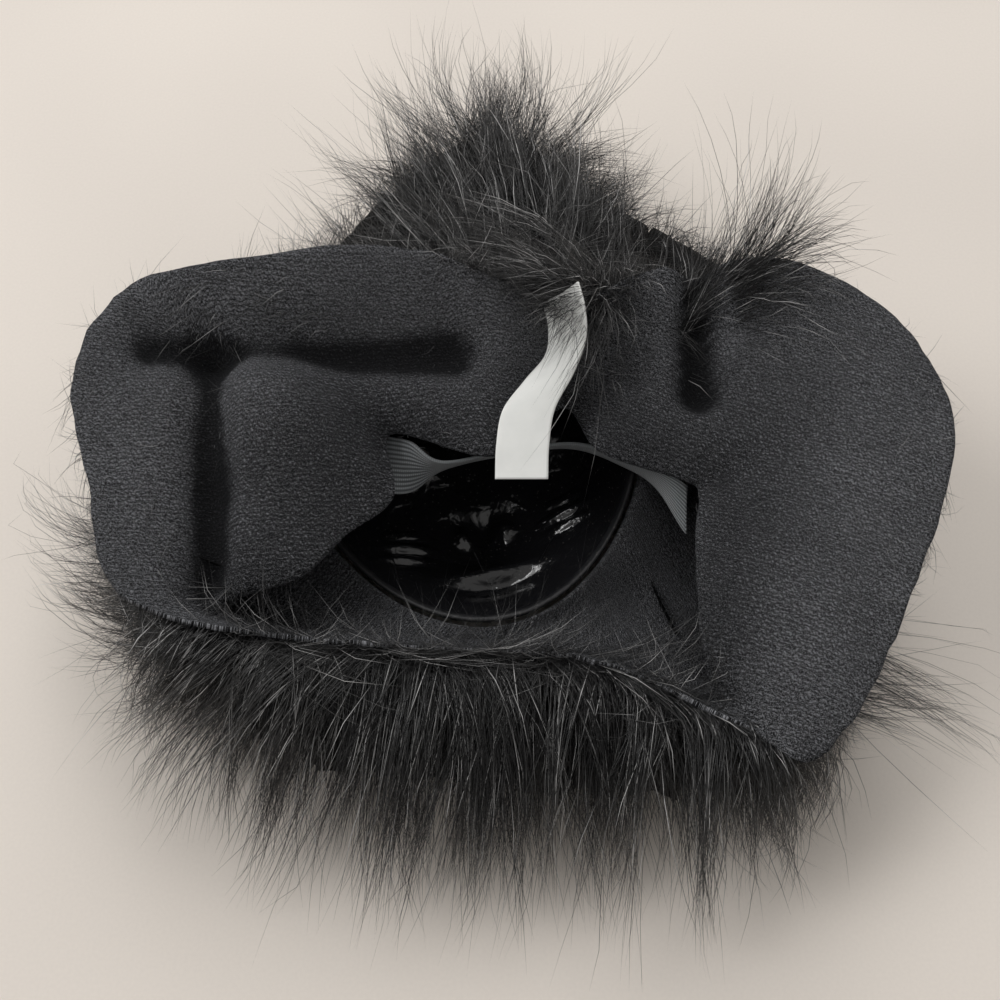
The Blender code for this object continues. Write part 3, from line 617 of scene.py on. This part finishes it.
# Fur
# Long black synthetic pile on the hood's outer side. Each lock is a bundle of fibres that part at the
# root, draw together and separate again at the tip, over a dense layer of short underfur.
fur, tree, shader = new_material("black_pile", Roughness=0.28)
shader.inputs["Specular IOR Level"].default_value = 0.4
# The tint attribute mixes the fibres' own dark tone with a pale colour, and its pale places are painted
# glints.
tone_and_glint = add_node(tree, "ShaderNodeAttribute", {}, attribute_name="tint").outputs["Fac"]
fibre_tone_and_glint = add_node(tree, "ShaderNodeMix", {"Factor": tone_and_glint, "A": (0.003, 0.003, 0.0035, 1),
                                              "B": (0.75, 0.74, 0.73, 1)}, data_type="RGBA")
tree.links.new(fibre_tone_and_glint.outputs["Result"], shader.inputs["Base Color"])

underfur, tree, shader = new_material("short_underfur", Roughness=0.85)
shader.inputs["Specular IOR Level"].default_value = 0.2
hair_uv = add_node(tree, "ShaderNodeUVMap", uv_map="rows").outputs[0]
stretched = add_node(tree, "ShaderNodeVectorMath", {0: hair_uv, 1: (1.5, 0.11, 0.0)},
                     operation="MULTIPLY").outputs[0]
streaks = add_node(tree, "ShaderNodeTexNoise", {"Vector": stretched, "Scale": 1.0, "Detail": 2.0,
                                                "Roughness": 0.65}, noise_dimensions="2D").outputs[0]
streak_mask = add_node(tree, "ShaderNodeMapRange", {"Value": streaks, "From Min": 0.42,
                                                    "From Max": 0.72}).outputs[0]
# Lighter streaks along the pile: partly the pile's own tone, partly painted glints.
under_tone_and_glint = add_node(tree, "ShaderNodeMix", {"Factor": streak_mask, "A": (0.0012, 0.0012, 0.0015, 1),
                                              "B": (0.014, 0.0135, 0.0135, 1)}, data_type="RGBA")
tree.links.new(under_tone_and_glint.outputs["Result"], shader.inputs["Base Color"])
under_bump = add_node(tree, "ShaderNodeBump", {"Height": streaks, "Strength": 1.0,
                                               "Distance": 0.004}).outputs[0]
tree.links.new(under_bump, shader.inputs["Normal"])

FUR_SEAT = 1.4
FUR_INNER_SHARE, FUR_BULGE, FUR_RISE, FUR_PILE, FUR_END_PILE = 0.22, 0.6, 4.0, 13.0, 5.0
FUR_TOP_SHARE = 0.7222
WALL_COLUMNS, OUTSIDE_COLUMNS = 18, 30
RAGGED_SHARE, DENSE_LESS, GROUND_CLEAR = 0.10, 0.08, 0.6
FUR_PIECES = (
    # name, first and last place round the hood in thirds of a section
    ("fur_beard", -6, 7),
    ("fur_right", 7, 26),
    ("fur_crown", 26, 37),
    ("fur_left", 37, 51),
)
DENSE_SHARES = (
    # place round the hood, share of the pile that is dense
    (-2.0, 0.84),
    (2.3, 0.84),
    (7.5, 0.78),
    (8.7, 0.62),
    (9.3, 0.75),
    (10.0, 1.0),
    (10.7, 0.76),
    (11.6, 0.66),
    (13.0, 0.76),
    (17.0, 0.84),
)
CUFF_FUR_PIECES = (
    # name, first and last place round the hood in thirds of a section
    ("fur_cuff_right", 12, 29),
    ("fur_cuff_left", 31, 46),
)
CUFF_FUR_START, CUFF_FUR_END, CUFF_FUR_PILE = 4.65, 5.95, 6.0


def fur_outline(u, shares, places):
    """The underfur's two sides on the sections u: along the wall from its start to where the fur
    ends, and the outside by way of the ground, the foot, the side and the top."""
    c = section_at(u)
    end = c["fur_end"]
    v = 0.5 + shares * (end - 0.5)
    wall = hood_surface(u, v) + (HOOD_WALL / 2 + FUR_SEAT) * hood_normal(u, v)
    start = hood_surface(u, 0.5)
    foot = np.stack([c["foot_x"], c["foot_y"], 0 * c["foot_x"]], axis=-1)
    side = np.stack([c["side_x"], c["side_y"], c["side_z"]], axis=-1)
    inner = start + FUR_INNER_SHARE * (foot - start)
    inner[..., 2] = 0
    bulge = side + FUR_BULGE * (foot - side)
    bulge[..., 2] = side[..., 2] + FUR_RISE
    top_v = 2 + FUR_TOP_SHARE * (end - 2)
    top = hood_surface(u, top_v) + FUR_PILE * hood_normal(u, top_v)
    low = start - np.array([0, 0, FUR_END_PILE])
    last = hood_surface(u, end) + FUR_END_PILE * hood_normal(u, end)
    path = np.stack([low, inner, foot, bulge, top, last])[:, :, 0]
    return wall, spline(path, places).transpose(1, 0, 2)


def closed_loft(name, ring, surface):
    """Rings joined round and along into a closed skin, each end drawn to its middle, with the arc
    lengths along and round in millimetres as its UV map."""
    middle = ring.mean(axis=1, keepdims=True)
    columns = ring.shape[1]
    ring = np.concatenate([middle[:1].repeat(columns, 1), ring, middle[-1:].repeat(columns, 1)])
    rows = len(ring)
    low = (np.arange(rows - 1)[:, None] * columns + np.arange(columns)).ravel()
    over = (np.arange(rows - 1)[:, None] * columns + (np.arange(columns) + 1) % columns).ravel()
    cells = np.stack([low, over, over + columns, low + columns], axis=1)
    made = add_piece(name, ring, cells, surface)
    steps, steps_round = (np.linalg.norm(np.diff(ring, axis=axis), axis=-1) for axis in (0, 1))
    along = np.concatenate([np.zeros((1, columns)), np.cumsum(steps, axis=0)])
    round_it = np.concatenate([np.zeros((rows, 1)), np.cumsum(steps_round, axis=1)], axis=1)
    uv = np.stack([along.mean(axis=1, keepdims=True) + 0 * along, round_it], axis=-1).reshape(-1, 2)
    add_places(made, uv[cells.ravel()])
    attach(made, "root")
    return made


fur_sides = {}
for number, (name, first, last) in enumerate(FUR_PIECES):
    u = np.linspace(first / 3 + 0.02, last / 3 - 0.02, 4 * (last - first) + 1)[:, None]
    wall, outside = fur_outline(u, np.linspace(0, 1, WALL_COLUMNS)[None, :],
                                np.linspace(5, 0, OUTSIDE_COLUMNS))
    dense = np.interp(u, *np.array(DENSE_SHARES).T)
    ragged = RAGGED_SHARE * soft_noise(u * 14 + 0 * outside[..., 0], outside[..., 2] / 9, 20 + number)
    nearest = wall[:, np.linspace(WALL_COLUMNS - 1, 0, OUTSIDE_COLUMNS).astype(int)]
    outside = nearest + (outside - nearest) * (dense - DENSE_LESS + ragged)[..., None]
    outside[..., 2] = np.maximum(outside[..., 2], GROUND_CLEAR)
    fur_sides[name] = outside
    under = closed_loft("under_" + name, np.concatenate([wall, outside], axis=1), underfur)
    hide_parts(name)

for name, first, last in CUFF_FUR_PIECES:
    u = np.linspace(first / 3 + 0.05, last / 3 - 0.05, 4 * (last - first) + 1)[:, None]
    v = np.linspace(CUFF_FUR_START, CUFF_FUR_END, 16)[None, :]
    normal = hood_normal(u, v)
    wall = hood_surface(u, v) + (HOOD_WALL / 2 + 0.3) * normal
    share = (v - CUFF_FUR_START) / (CUFF_FUR_END - CUFF_FUR_START)
    pile = CUFF_FUR_PILE * (0.35 + 0.65 * np.sin(math.pi * share))
    pile = pile * (1 + 0.25 * soft_noise(u * 16, v * 5, 31))
    outside = (wall + pile[..., None] * normal)[:, ::-1]
    under = closed_loft("under_" + name, np.concatenate([wall, outside], axis=1), underfur)
    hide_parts(name)


def strand_mesh(name, paths, radii, tints, surface):
    """Fibres as three-sided tubes along paths of shape (fibres, places, 3): rings that narrow along
    the fibre, closed by a tip and a root face, with a tint for each place: the fibre's tone, and on the fur
    also painted glints."""
    count, places, _ = paths.shape
    tangent = np.gradient(paths, axis=1)
    tangent /= np.maximum(np.linalg.norm(tangent, axis=-1, keepdims=True), 1e-9)
    bend = np.cross(tangent[:, 0], tangent[:, -1]) + 1e-3 * np.array([0.3, 0.5, 0.8])
    bend /= np.maximum(np.linalg.norm(bend, axis=-1, keepdims=True), 1e-9)
    first = bend[:, None] - (bend[:, None] * tangent).sum(-1, keepdims=True) * tangent
    first /= np.maximum(np.linalg.norm(first, axis=-1, keepdims=True), 1e-9)
    second = np.cross(tangent, first)
    rings = places - 1
    narrowing = 1 - 0.7 * (np.arange(rings) / rings) ** 1.5
    turn = 2 * math.pi * np.arange(3) / 3
    spoke = np.cos(turn)[:, None] * first[:, :rings, None] + np.sin(turn)[:, None] * second[:, :rings, None]
    ring_points = paths[:, :rings, None] + spoke * (radii[:, None] * narrowing)[..., None, None]
    points = np.concatenate([ring_points.reshape(count, rings * 3, 3), paths[:, -1:]], axis=1)
    faces = [(2, 1, 0)]
    for ring in range(rings - 1):
        for k in range(3):
            a, b = ring * 3 + k, ring * 3 + (k + 1) % 3
            faces += [(a, b, b + 3), (a, b + 3, a + 3)]
    faces += [((rings - 1) * 3 + k, (rings - 1) * 3 + (k + 1) % 3, rings * 3) for k in range(3)]
    each = rings * 3 + 1
    faces = (np.array(faces)[None] + each * np.arange(count)[:, None, None]).reshape(-1, 3)
    made = add_piece(name, points.reshape(-1, 3), faces, surface)
    spread_tints = np.concatenate([np.repeat(tints[:, :rings], 3, axis=1), tints[:, -1:]], axis=1)
    add_values(made, "tint", spread_tints)
    return made


box_low = np.array(cad_box[0]) * 1000 + ORIGIN
box_high = np.array(cad_box[1]) * 1000 + ORIGIN
ROOM = 0.03 * (box_high - box_low) + 8
BEARD_TIPS = (
    # place round the hood, x, y, z where its locks end
    (-3.4, -204, 0, 22),
    (-3.0, -198, -30, 14),
    (-2.6, -180, -66, 7),
    (-2.2, -152, -100, 4),
    (-1.8, -122, -130, 3),
    (-1.4, -92, -146, 3),
    (-1.0, -66, -156, 3),
    (-0.5, -36, -166, 3),
    (0.0, -4, -156, 3),
    (0.5, 28, -146, 3),
    (1.0, 60, -150, 3),
    (1.5, 88, -156, 3),
    (2.0, 108, -146, 3),
    (2.5, 122, -126, 4),
    (3.0, 140, -108, 8),
)
CROWN_TIPS = (
    # place round the hood, x, y, z where its locks end
    (8.9, 66, 126, 90),
    (9.2, 56, 148, 84),
    (9.6, 36, 182, 76),
    (9.9, 12, 232, 68),
    (10.1, -8, 280, 62),
    (10.35, -22, 228, 66),
    (10.8, -50, 168, 72),
    (11.2, -62, 146, 84),
)
WISP_TIPS = (
    # place round the hood, x, y, z where its locks end
    (3.0, 186, -96, 20),
    (4.4, 198, -78, 26),
)
LEFT_TIPS = (
    # place round the hood, x, y, z where its locks end
    (14.6, -206, 44, 24),
    (15.2, -214, 12, 20),
    (15.9, -208, -14, 14),
    (16.6, -186, -56, 16),
)
TUFT_TIPS = (
    # place round the hood, x, y, z where its locks end
    (10.6, -48, 208, 72),
    (11.1, -66, 198, 74),
)
LOCKS = (
    # name, what carries it, place round it from, to, place along it from, to, locks, fibres, places,
    # length, lay: normal, out, up, fall: out, down, wander, lock size, fibre radius, loose share,
    # tip spread, table of ends
    ("locks_chin_rim", "hood", -2.6, 2.6, 5.2, 5.95, 84, 34, 7, 0,
     0.1, 0.85, 0.35, 0, 0, 0.45, 9, 0.17, 0.32, 2.5, BEARD_TIPS),
    ("locks_chin_low", "hood", -3.2, 2.7, 2.2, 5.0, 72, 30, 7, 0,
     0.4, 0.7, 0.1, 0, 0, 0.42, 10, 0.18, 0.32, 3.0, BEARD_TIPS),
    ("locks_chin_inner", "hood", -2.2, 1.8, 5.6, 5.98, 80, 18, 4, 30,
     0.0, 0.6, 0.6, -1.3, 0.5, 1.2, 12, 0.10, 0.85, 7.0, None),
    ("locks_crown_back", "hood", 9.0, 11.1, 1.8, 3.3, 90, 33, 7, 0,
     0.3, 0.6, 0.5, 0, 0, 0.75, 9, 0.155, 0.5, 4.0, CROWN_TIPS),
    ("locks_crown_top", "hood", 9.1, 11.0, 2.8, 3.5, 64, 26, 5, 40,
     0.6, 0.5, 0.5, 0.7, 0.0, 1.0, 9, 0.14, 0.7, 6.0, None),
    ("locks_crown_flank", "hood", 8.2, 12.2, 1.9, 3.3, 100, 20, 4, 38,
     0.6, 0.6, 0.4, 0.6, 0.3, 0.9, 9, 0.155, 0.6, 4.0, None),
    ("locks_notch", "hood", 9.3, 10.8, 5.88, 5.98, 80, 19, 4, 17,
     0.0, 0.8, 0.6, -0.8, -0.2, 0.9, 8, 0.11, 0.8, 4.0, None),
    ("locks_over_label", "hood", 9.7, 10.1, 5.75, 5.98, 34, 26, 6, 50,
     0.0, 0.5, 1.0, -1.5, 0.1, 0.5, 8, 0.15, 0.6, 5.0, None),
    ("locks_right_cuff", "hood", 4.0, 9.6, 5.2, 5.95, 100, 16, 4, 17,
     0.5, 0.9, 0.1, 0.4, 0.3, 0.5, 8, 0.11, 0.5, 3.0, None),
    ("locks_left_cuff", "hood", 10.4, 16.0, 5.2, 5.95, 100, 16, 4, 20,
     0.5, 0.9, 0.1, 0.4, 0.3, 0.6, 8, 0.11, 0.6, 4.0, None),
    ("locks_tuft_right", "hood", 8.2, 8.8, 5.3, 5.9, 13, 40, 7, 70,
     0.2, 0.6, 0.7, 0.4, -0.6, 0.3, 7, 0.13, 0.5, 5.0, None),
    ("locks_tuft_left", "hood", 10.7, 11.0, 2.0, 2.6, 5, 40, 7, 0,
     0.3, 0.6, 0.6, 0, 0, 0.1, 5, 0.13, 0.3, 3.0, TUFT_TIPS),
    ("locks_wisp_right", "hood", 3.1, 4.1, 2.6, 3.0, 5, 44, 7, 0,
     0.1, 1.0, 0.5, 0, 0, 0.1, 5, 0.13, 0.3, 4.0, WISP_TIPS),
    ("locks_wisp_left", "hood", 14.6, 16.6, 2.0, 3.0, 9, 34, 7, 0,
     0.1, 1.0, 0.4, 0, 0, 0.25, 6, 0.13, 0.5, 7.0, LEFT_TIPS),
    ("locks_right_side", "fur_right", 0.0, 1.0, 0.02, 0.62, 210, 20, 4, 28,
     0.6, 0.4, 0.1, 0.5, 0.9, 0.4, 10, 0.14, 0.4, 3.0, None),
    ("locks_crown_side", "fur_crown", 0.0, 1.0, 0.02, 0.62, 110, 20, 4, 40,
     0.6, 0.5, 0.2, 0.6, 0.5, 0.6, 10, 0.14, 0.4, 4.0, None),
    ("locks_left_side", "fur_left", 0.0, 1.0, 0.02, 0.62, 190, 20, 4, 34,
     0.6, 0.4, 0.1, 0.6, 0.8, 0.5, 10, 0.14, 0.5, 4.0, None),
)
# Share of the fibres that get painted glints.
GLINT_SHARE = 0.42
TIP_CLUMPS = {"locks_chin_rim": 1.9, "locks_chin_low": 1.5}
SKIN_DEPTH = {"hood": HOOD_WALL / 2 - 0.2}


def on_grid(grid, a, b):
    """A grid's places at the shares a and b of its rows and columns, in straight lines between."""
    row, column = a * (grid.shape[0] - 1), b * (grid.shape[1] - 1)
    i = np.clip(row.astype(int), 0, grid.shape[0] - 2)
    j = np.clip(column.astype(int), 0, grid.shape[1] - 2)
    x, y = (row - i)[:, None], (column - j)[:, None]
    return ((1 - x) * ((1 - y) * grid[i, j] + y * grid[i, j + 1])
            + x * ((1 - y) * grid[i + 1, j] + y * grid[i + 1, j + 1]))


def carrier_at(carrier, a, b, step=0.02):
    """Places and outward normals on the hood's fur side, or on the outside of a piece of underfur."""
    if carrier == "hood":
        return hood_surface(a, b), hood_normal(a, b)
    grid = fur_sides[carrier]
    a, b = np.clip(a, step, 1 - step), np.clip(b, step, 1 - step)
    along = on_grid(grid, a + step, b) - on_grid(grid, a - step, b)
    down = on_grid(grid, a, b + step) - on_grid(grid, a, b - step)
    normal = np.cross(down, along)
    return on_grid(grid, a, b), normal / np.maximum(np.linalg.norm(normal, axis=-1, keepdims=True), 1e-9)


for number, (name, carrier, u0, u1, v0, v1, locks, fibres, places, length, lay_normal, lay_out, lay_up,
             fall_out, fall_down, wander, size, radius, loose_share, spread, ends) in enumerate(LOCKS):
    draw = np.random.default_rng(400 + number)
    lock_u = u0 + (u1 - u0) * (draw.permutation(locks) + draw.uniform(0, 1, locks)) / locks
    lock_v = draw.uniform(v0, v1, locks)
    lock = np.repeat(np.arange(locks), fibres)
    centre, _ = carrier_at(carrier, lock_u, lock_v)
    nudge_u, nudge_v = 0.01 * (u1 - u0), 0.01 * (v1 - v0)
    per_u = np.linalg.norm(carrier_at(carrier, lock_u + nudge_u, lock_v)[0] - centre, axis=-1) / nudge_u
    per_v = np.linalg.norm(carrier_at(carrier, lock_u, lock_v + nudge_v)[0] - centre, axis=-1) / nudge_v
    off = draw.normal(0, size / 2, (len(lock), 2))
    off[np.arange(locks) * fibres] = 0
    u = lock_u[lock] + off[:, 0] / np.maximum(per_u, 4)[lock]
    v = lock_v[lock] + off[:, 1] / np.maximum(per_v, 4)[lock]
    if carrier == "hood":
        v = np.clip(v, 0.3, 5.98)
    roots, normal = carrier_at(carrier, u, v)
    roots += SKIN_DEPTH.get(carrier, -0.5) * normal
    out = roots * np.array([1, 1, 0]) - np.array([*SHELL_CENTRE, 0])
    out /= np.maximum(np.linalg.norm(out, axis=-1, keepdims=True), 1)
    side = np.stack([-out[:, 1], out[:, 0], 0 * out[:, 0]], axis=-1)
    loose = draw.uniform(0, 1, len(lock)) < loose_share
    way = draw.normal(0, wander, locks)[lock] + draw.normal(0, 1, len(lock)) * np.where(loose, 0.45, 0.05)
    rise = draw.normal(0, wander / 2, locks)[lock]
    rise = rise + draw.normal(0, 1, len(lock)) * np.where(loose, 0.25, 0.04)
    lay = normal * lay_normal + out * lay_out + side * way[:, None]
    lay[:, 2] += lay_up + rise
    lay /= np.maximum(np.linalg.norm(lay, axis=-1, keepdims=True), 0.5)
    shorter = draw.uniform(0.6, 1.1, locks)[lock] * draw.uniform(0.75, 1.05, len(lock))
    if ends is None:
        fall = out * fall_out + side * (1.4 * way)[:, None]
        fall[:, 2] -= fall_down - rise
        reach = 0.5 * length * (lay + fall)
    else:
        ends = np.array(ends, float)
        tip_u = lock_u
        if name in TIP_CLUMPS:
            tip_u = 0.25 * lock_u + 0.75 * (np.floor(lock_u * TIP_CLUMPS[name]) + 0.5) / TIP_CLUMPS[name]
        tip = np.stack([np.interp(tip_u, ends[:, 0], ends[:, k]) for k in (1, 2, 3)], axis=-1)
        reach = (tip + draw.normal(0, 6, (locks, 3)))[lock] - roots
        reach += np.linalg.norm(reach, axis=-1, keepdims=True) * side * (0.4 * way)[:, None]
    reach = reach * shorter[:, None]
    reach = reach + draw.normal(0, spread, (len(lock), 3)) * np.where(loose, 1.6, 1.0)[:, None]
    long = np.linalg.norm(reach, axis=-1)
    bend = 0.5 * long[:, None] * lay
    held = np.arange(locks) * fibres
    drift = roots - roots[held][lock]
    middle = roots + bend - np.where(loose, 0.1, 0.6)[:, None] * drift
    t = np.linspace(0, 1, places)[None, :, None]
    tips = roots + reach - 0.8 * drift
    paths = (1 - t) ** 2 * roots[:, None] + 2 * t * (1 - t) * middle[:, None] + t**2 * tips[:, None]
    phase = t * draw.uniform(0.5, 1.6, (len(lock), 1, 1)) + draw.uniform(0, 1, (len(lock), 1, 1))
    curl = 0.018 * long[:, None, None] * np.sin(2 * math.pi * phase) * t
    paths += draw.normal(0, 1, (len(lock), 1, 3)) * curl
    paths[..., 2] = np.maximum(paths[..., 2], draw.uniform(0.4, 3.5, len(lock))[:, None])
    paths = np.clip(paths, box_low - ROOM, box_high + ROOM)
    base = np.clip(draw.normal(0.010, 0.012, locks)[lock] + draw.exponential(0.015, len(lock)), 0, 0.3)
    tints = np.repeat(base[:, None], places, axis=1)
    # Painted glints: on a share of the fibres, some places get a pale tint that stands in for highlights.
    glinting_fibres = np.flatnonzero(draw.uniform(0, 1, len(lock)) < GLINT_SHARE)
    for _ in range(places // 3):
        tints[glinting_fibres, draw.integers(1, places - 1, len(glinting_fibres))] = draw.uniform(0.2, 1.0, len(glinting_fibres)) ** 2
    made = strand_mesh(name, paths, radius * draw.uniform(0.55, 1.3, len(lock)), tints, fur)
    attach(made, "root")

# Loose fibres
# Short pale fibres that have shed onto the knit, as on any new fur cloth. They lie on the cuff and
# stand a little off it.
LINT_RADIUS, LINT_PLACES = 0.06, 3
LINT = (
    # name, u from, to, fibres
    ("lint_right", 0.2, 9.9, 1100),
    ("lint_left", 10.1, 18.8, 1100),
)
lint, tree, shader = new_material("shed_fibres", Roughness=0.5)
lint_tint = add_node(tree, "ShaderNodeAttribute", {}, attribute_name="tint").outputs["Fac"]
lint_colour = add_node(tree, "ShaderNodeMix", {"Factor": lint_tint, "A": (0.012, 0.012, 0.014, 1),
                                               "B": (0.5, 0.5, 0.51, 1)}, data_type="RGBA")
tree.links.new(lint_colour.outputs["Result"], shader.inputs["Base Color"])
for number, (name, u0, u1, fibres) in enumerate(LINT):
    draw = np.random.default_rng(500 + number)
    u, v = draw.uniform(u0, u1, fibres), draw.uniform(3.4, 5.98, fibres)
    normal = -hood_normal(u, v)
    roots = hood_surface(u, v) + (HOOD_WALL / 2 + 0.1) * normal
    way = draw.normal(0, 1, (fibres, 3))
    way -= (way * normal).sum(-1, keepdims=True) * normal * 0.75
    way /= np.linalg.norm(way, axis=-1, keepdims=True)
    curl = np.cross(way, normal) * draw.normal(0, 0.6, (fibres, 1))
    long = draw.gamma(2.0, 0.75, fibres)[:, None, None]
    t = np.linspace(0, 1, LINT_PLACES)[None, :, None]
    paths = roots[:, None] + long * (t * way[:, None] + t**2 / 2 * curl[:, None])
    paths += (0.25 + 0.5 * draw.uniform(0, 1, (fibres, 1, 1))) * normal[:, None] * np.sin(math.pi * t)
    tints = np.repeat(np.clip(draw.exponential(0.22, fibres), 0, 1)[:, None], LINT_PLACES, axis=1)
    made = strand_mesh(name, paths, LINT_RADIUS * draw.uniform(0.7, 1.3, fibres), tints, lint)
    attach(made, "root")

# Ground, light and camera
# A pale cream surface with a fine grain, lit softly from above and behind, seen from the chin's side.
paper, tree, shader = new_material("cream_surface", Roughness=0.85)
place = add_node(tree, "ShaderNodeTexCoord").outputs["Object"]
grain = add_node(tree, "ShaderNodeTexNoise", {"Vector": place, "Scale": 700.0, "Detail": 0.0},
                 noise_dimensions="2D").outputs[0]
blotch = add_node(tree, "ShaderNodeTexNoise", {"Vector": place, "Scale": 9.0, "Detail": 0.0},
                  noise_dimensions="2D").outputs[0]
mottle = math_node(tree, "ADD", math_node(tree, "MULTIPLY", grain, 0.35),
                   math_node(tree, "MULTIPLY", blotch, 0.65))
cream = add_node(tree, "ShaderNodeMix", {"Factor": mottle, "A": (0.80, 0.735, 0.665, 1),
                                         "B": (0.72, 0.66, 0.60, 1)}, data_type="RGBA")
tree.links.new(cream.outputs["Result"], shader.inputs["Base Color"])
ground_line = np.linspace(-25000.0, 25000.0, 9)
ground_x, ground_y = np.meshgrid(ground_line, ground_line, indexing="ij")
ground_grid = np.stack([ground_x, ground_y, 0 * ground_x - 0.2], axis=-1)
ground = add_piece("ground", ground_grid, grid_cells(9, 9), paper)

world = bpy.data.worlds.new("soft_room")
bpy.context.scene.world = world
world.use_nodes = True
world.node_tree.nodes["Background"].inputs["Color"].default_value = (1.0, 0.985, 0.97, 1)
world.node_tree.nodes["Background"].inputs["Strength"].default_value = 0.46
bpy.context.scene.view_settings.view_transform = "Standard"


def add_lamp(name, place, target, size, power):
    """A square soft lamp at a place, aimed at a target, all in metres and watts."""
    light = bpy.data.lights.new(name, "AREA")
    light.size, light.energy = size, power
    lamp = bpy.data.objects.new(name, light)
    away = np.array(target, float) - np.array(place, float)
    flat = math.hypot(away[0], away[1])
    lamp.location = place
    lamp.rotation_euler = (math.atan2(flat, -away[2]), 0, math.atan2(away[1], away[0]) - math.pi / 2)
    bpy.context.scene.collection.objects.link(lamp)


add_lamp("lamp_back", (0.2, 2.4, 2.4), (0, 0, 0), 2.0, 46)
add_lamp("lamp_left", (-2.4, 0.3, 2.6), (0, 0, 0), 1.5, 48)

AIM = (0.0043, -0.061, 0.06)
CAMERA_DISTANCE, CAMERA_ELEVATION = 0.48, math.radians(64)
camera_data = bpy.data.cameras.new("photo_camera")
camera_data.lens, camera_data.sensor_width = 41.4, 36
camera_data.clip_start = 0.05
camera = bpy.data.objects.new("photo_camera", camera_data)
camera.location = (AIM[0], AIM[1] - CAMERA_DISTANCE * math.cos(CAMERA_ELEVATION),
                   AIM[2] + CAMERA_DISTANCE * math.sin(CAMERA_ELEVATION))
camera.rotation_euler = (math.pi / 2 - CAMERA_ELEVATION, 0, 0)
bpy.context.scene.collection.objects.link(camera)
bpy.context.scene.camera = camera
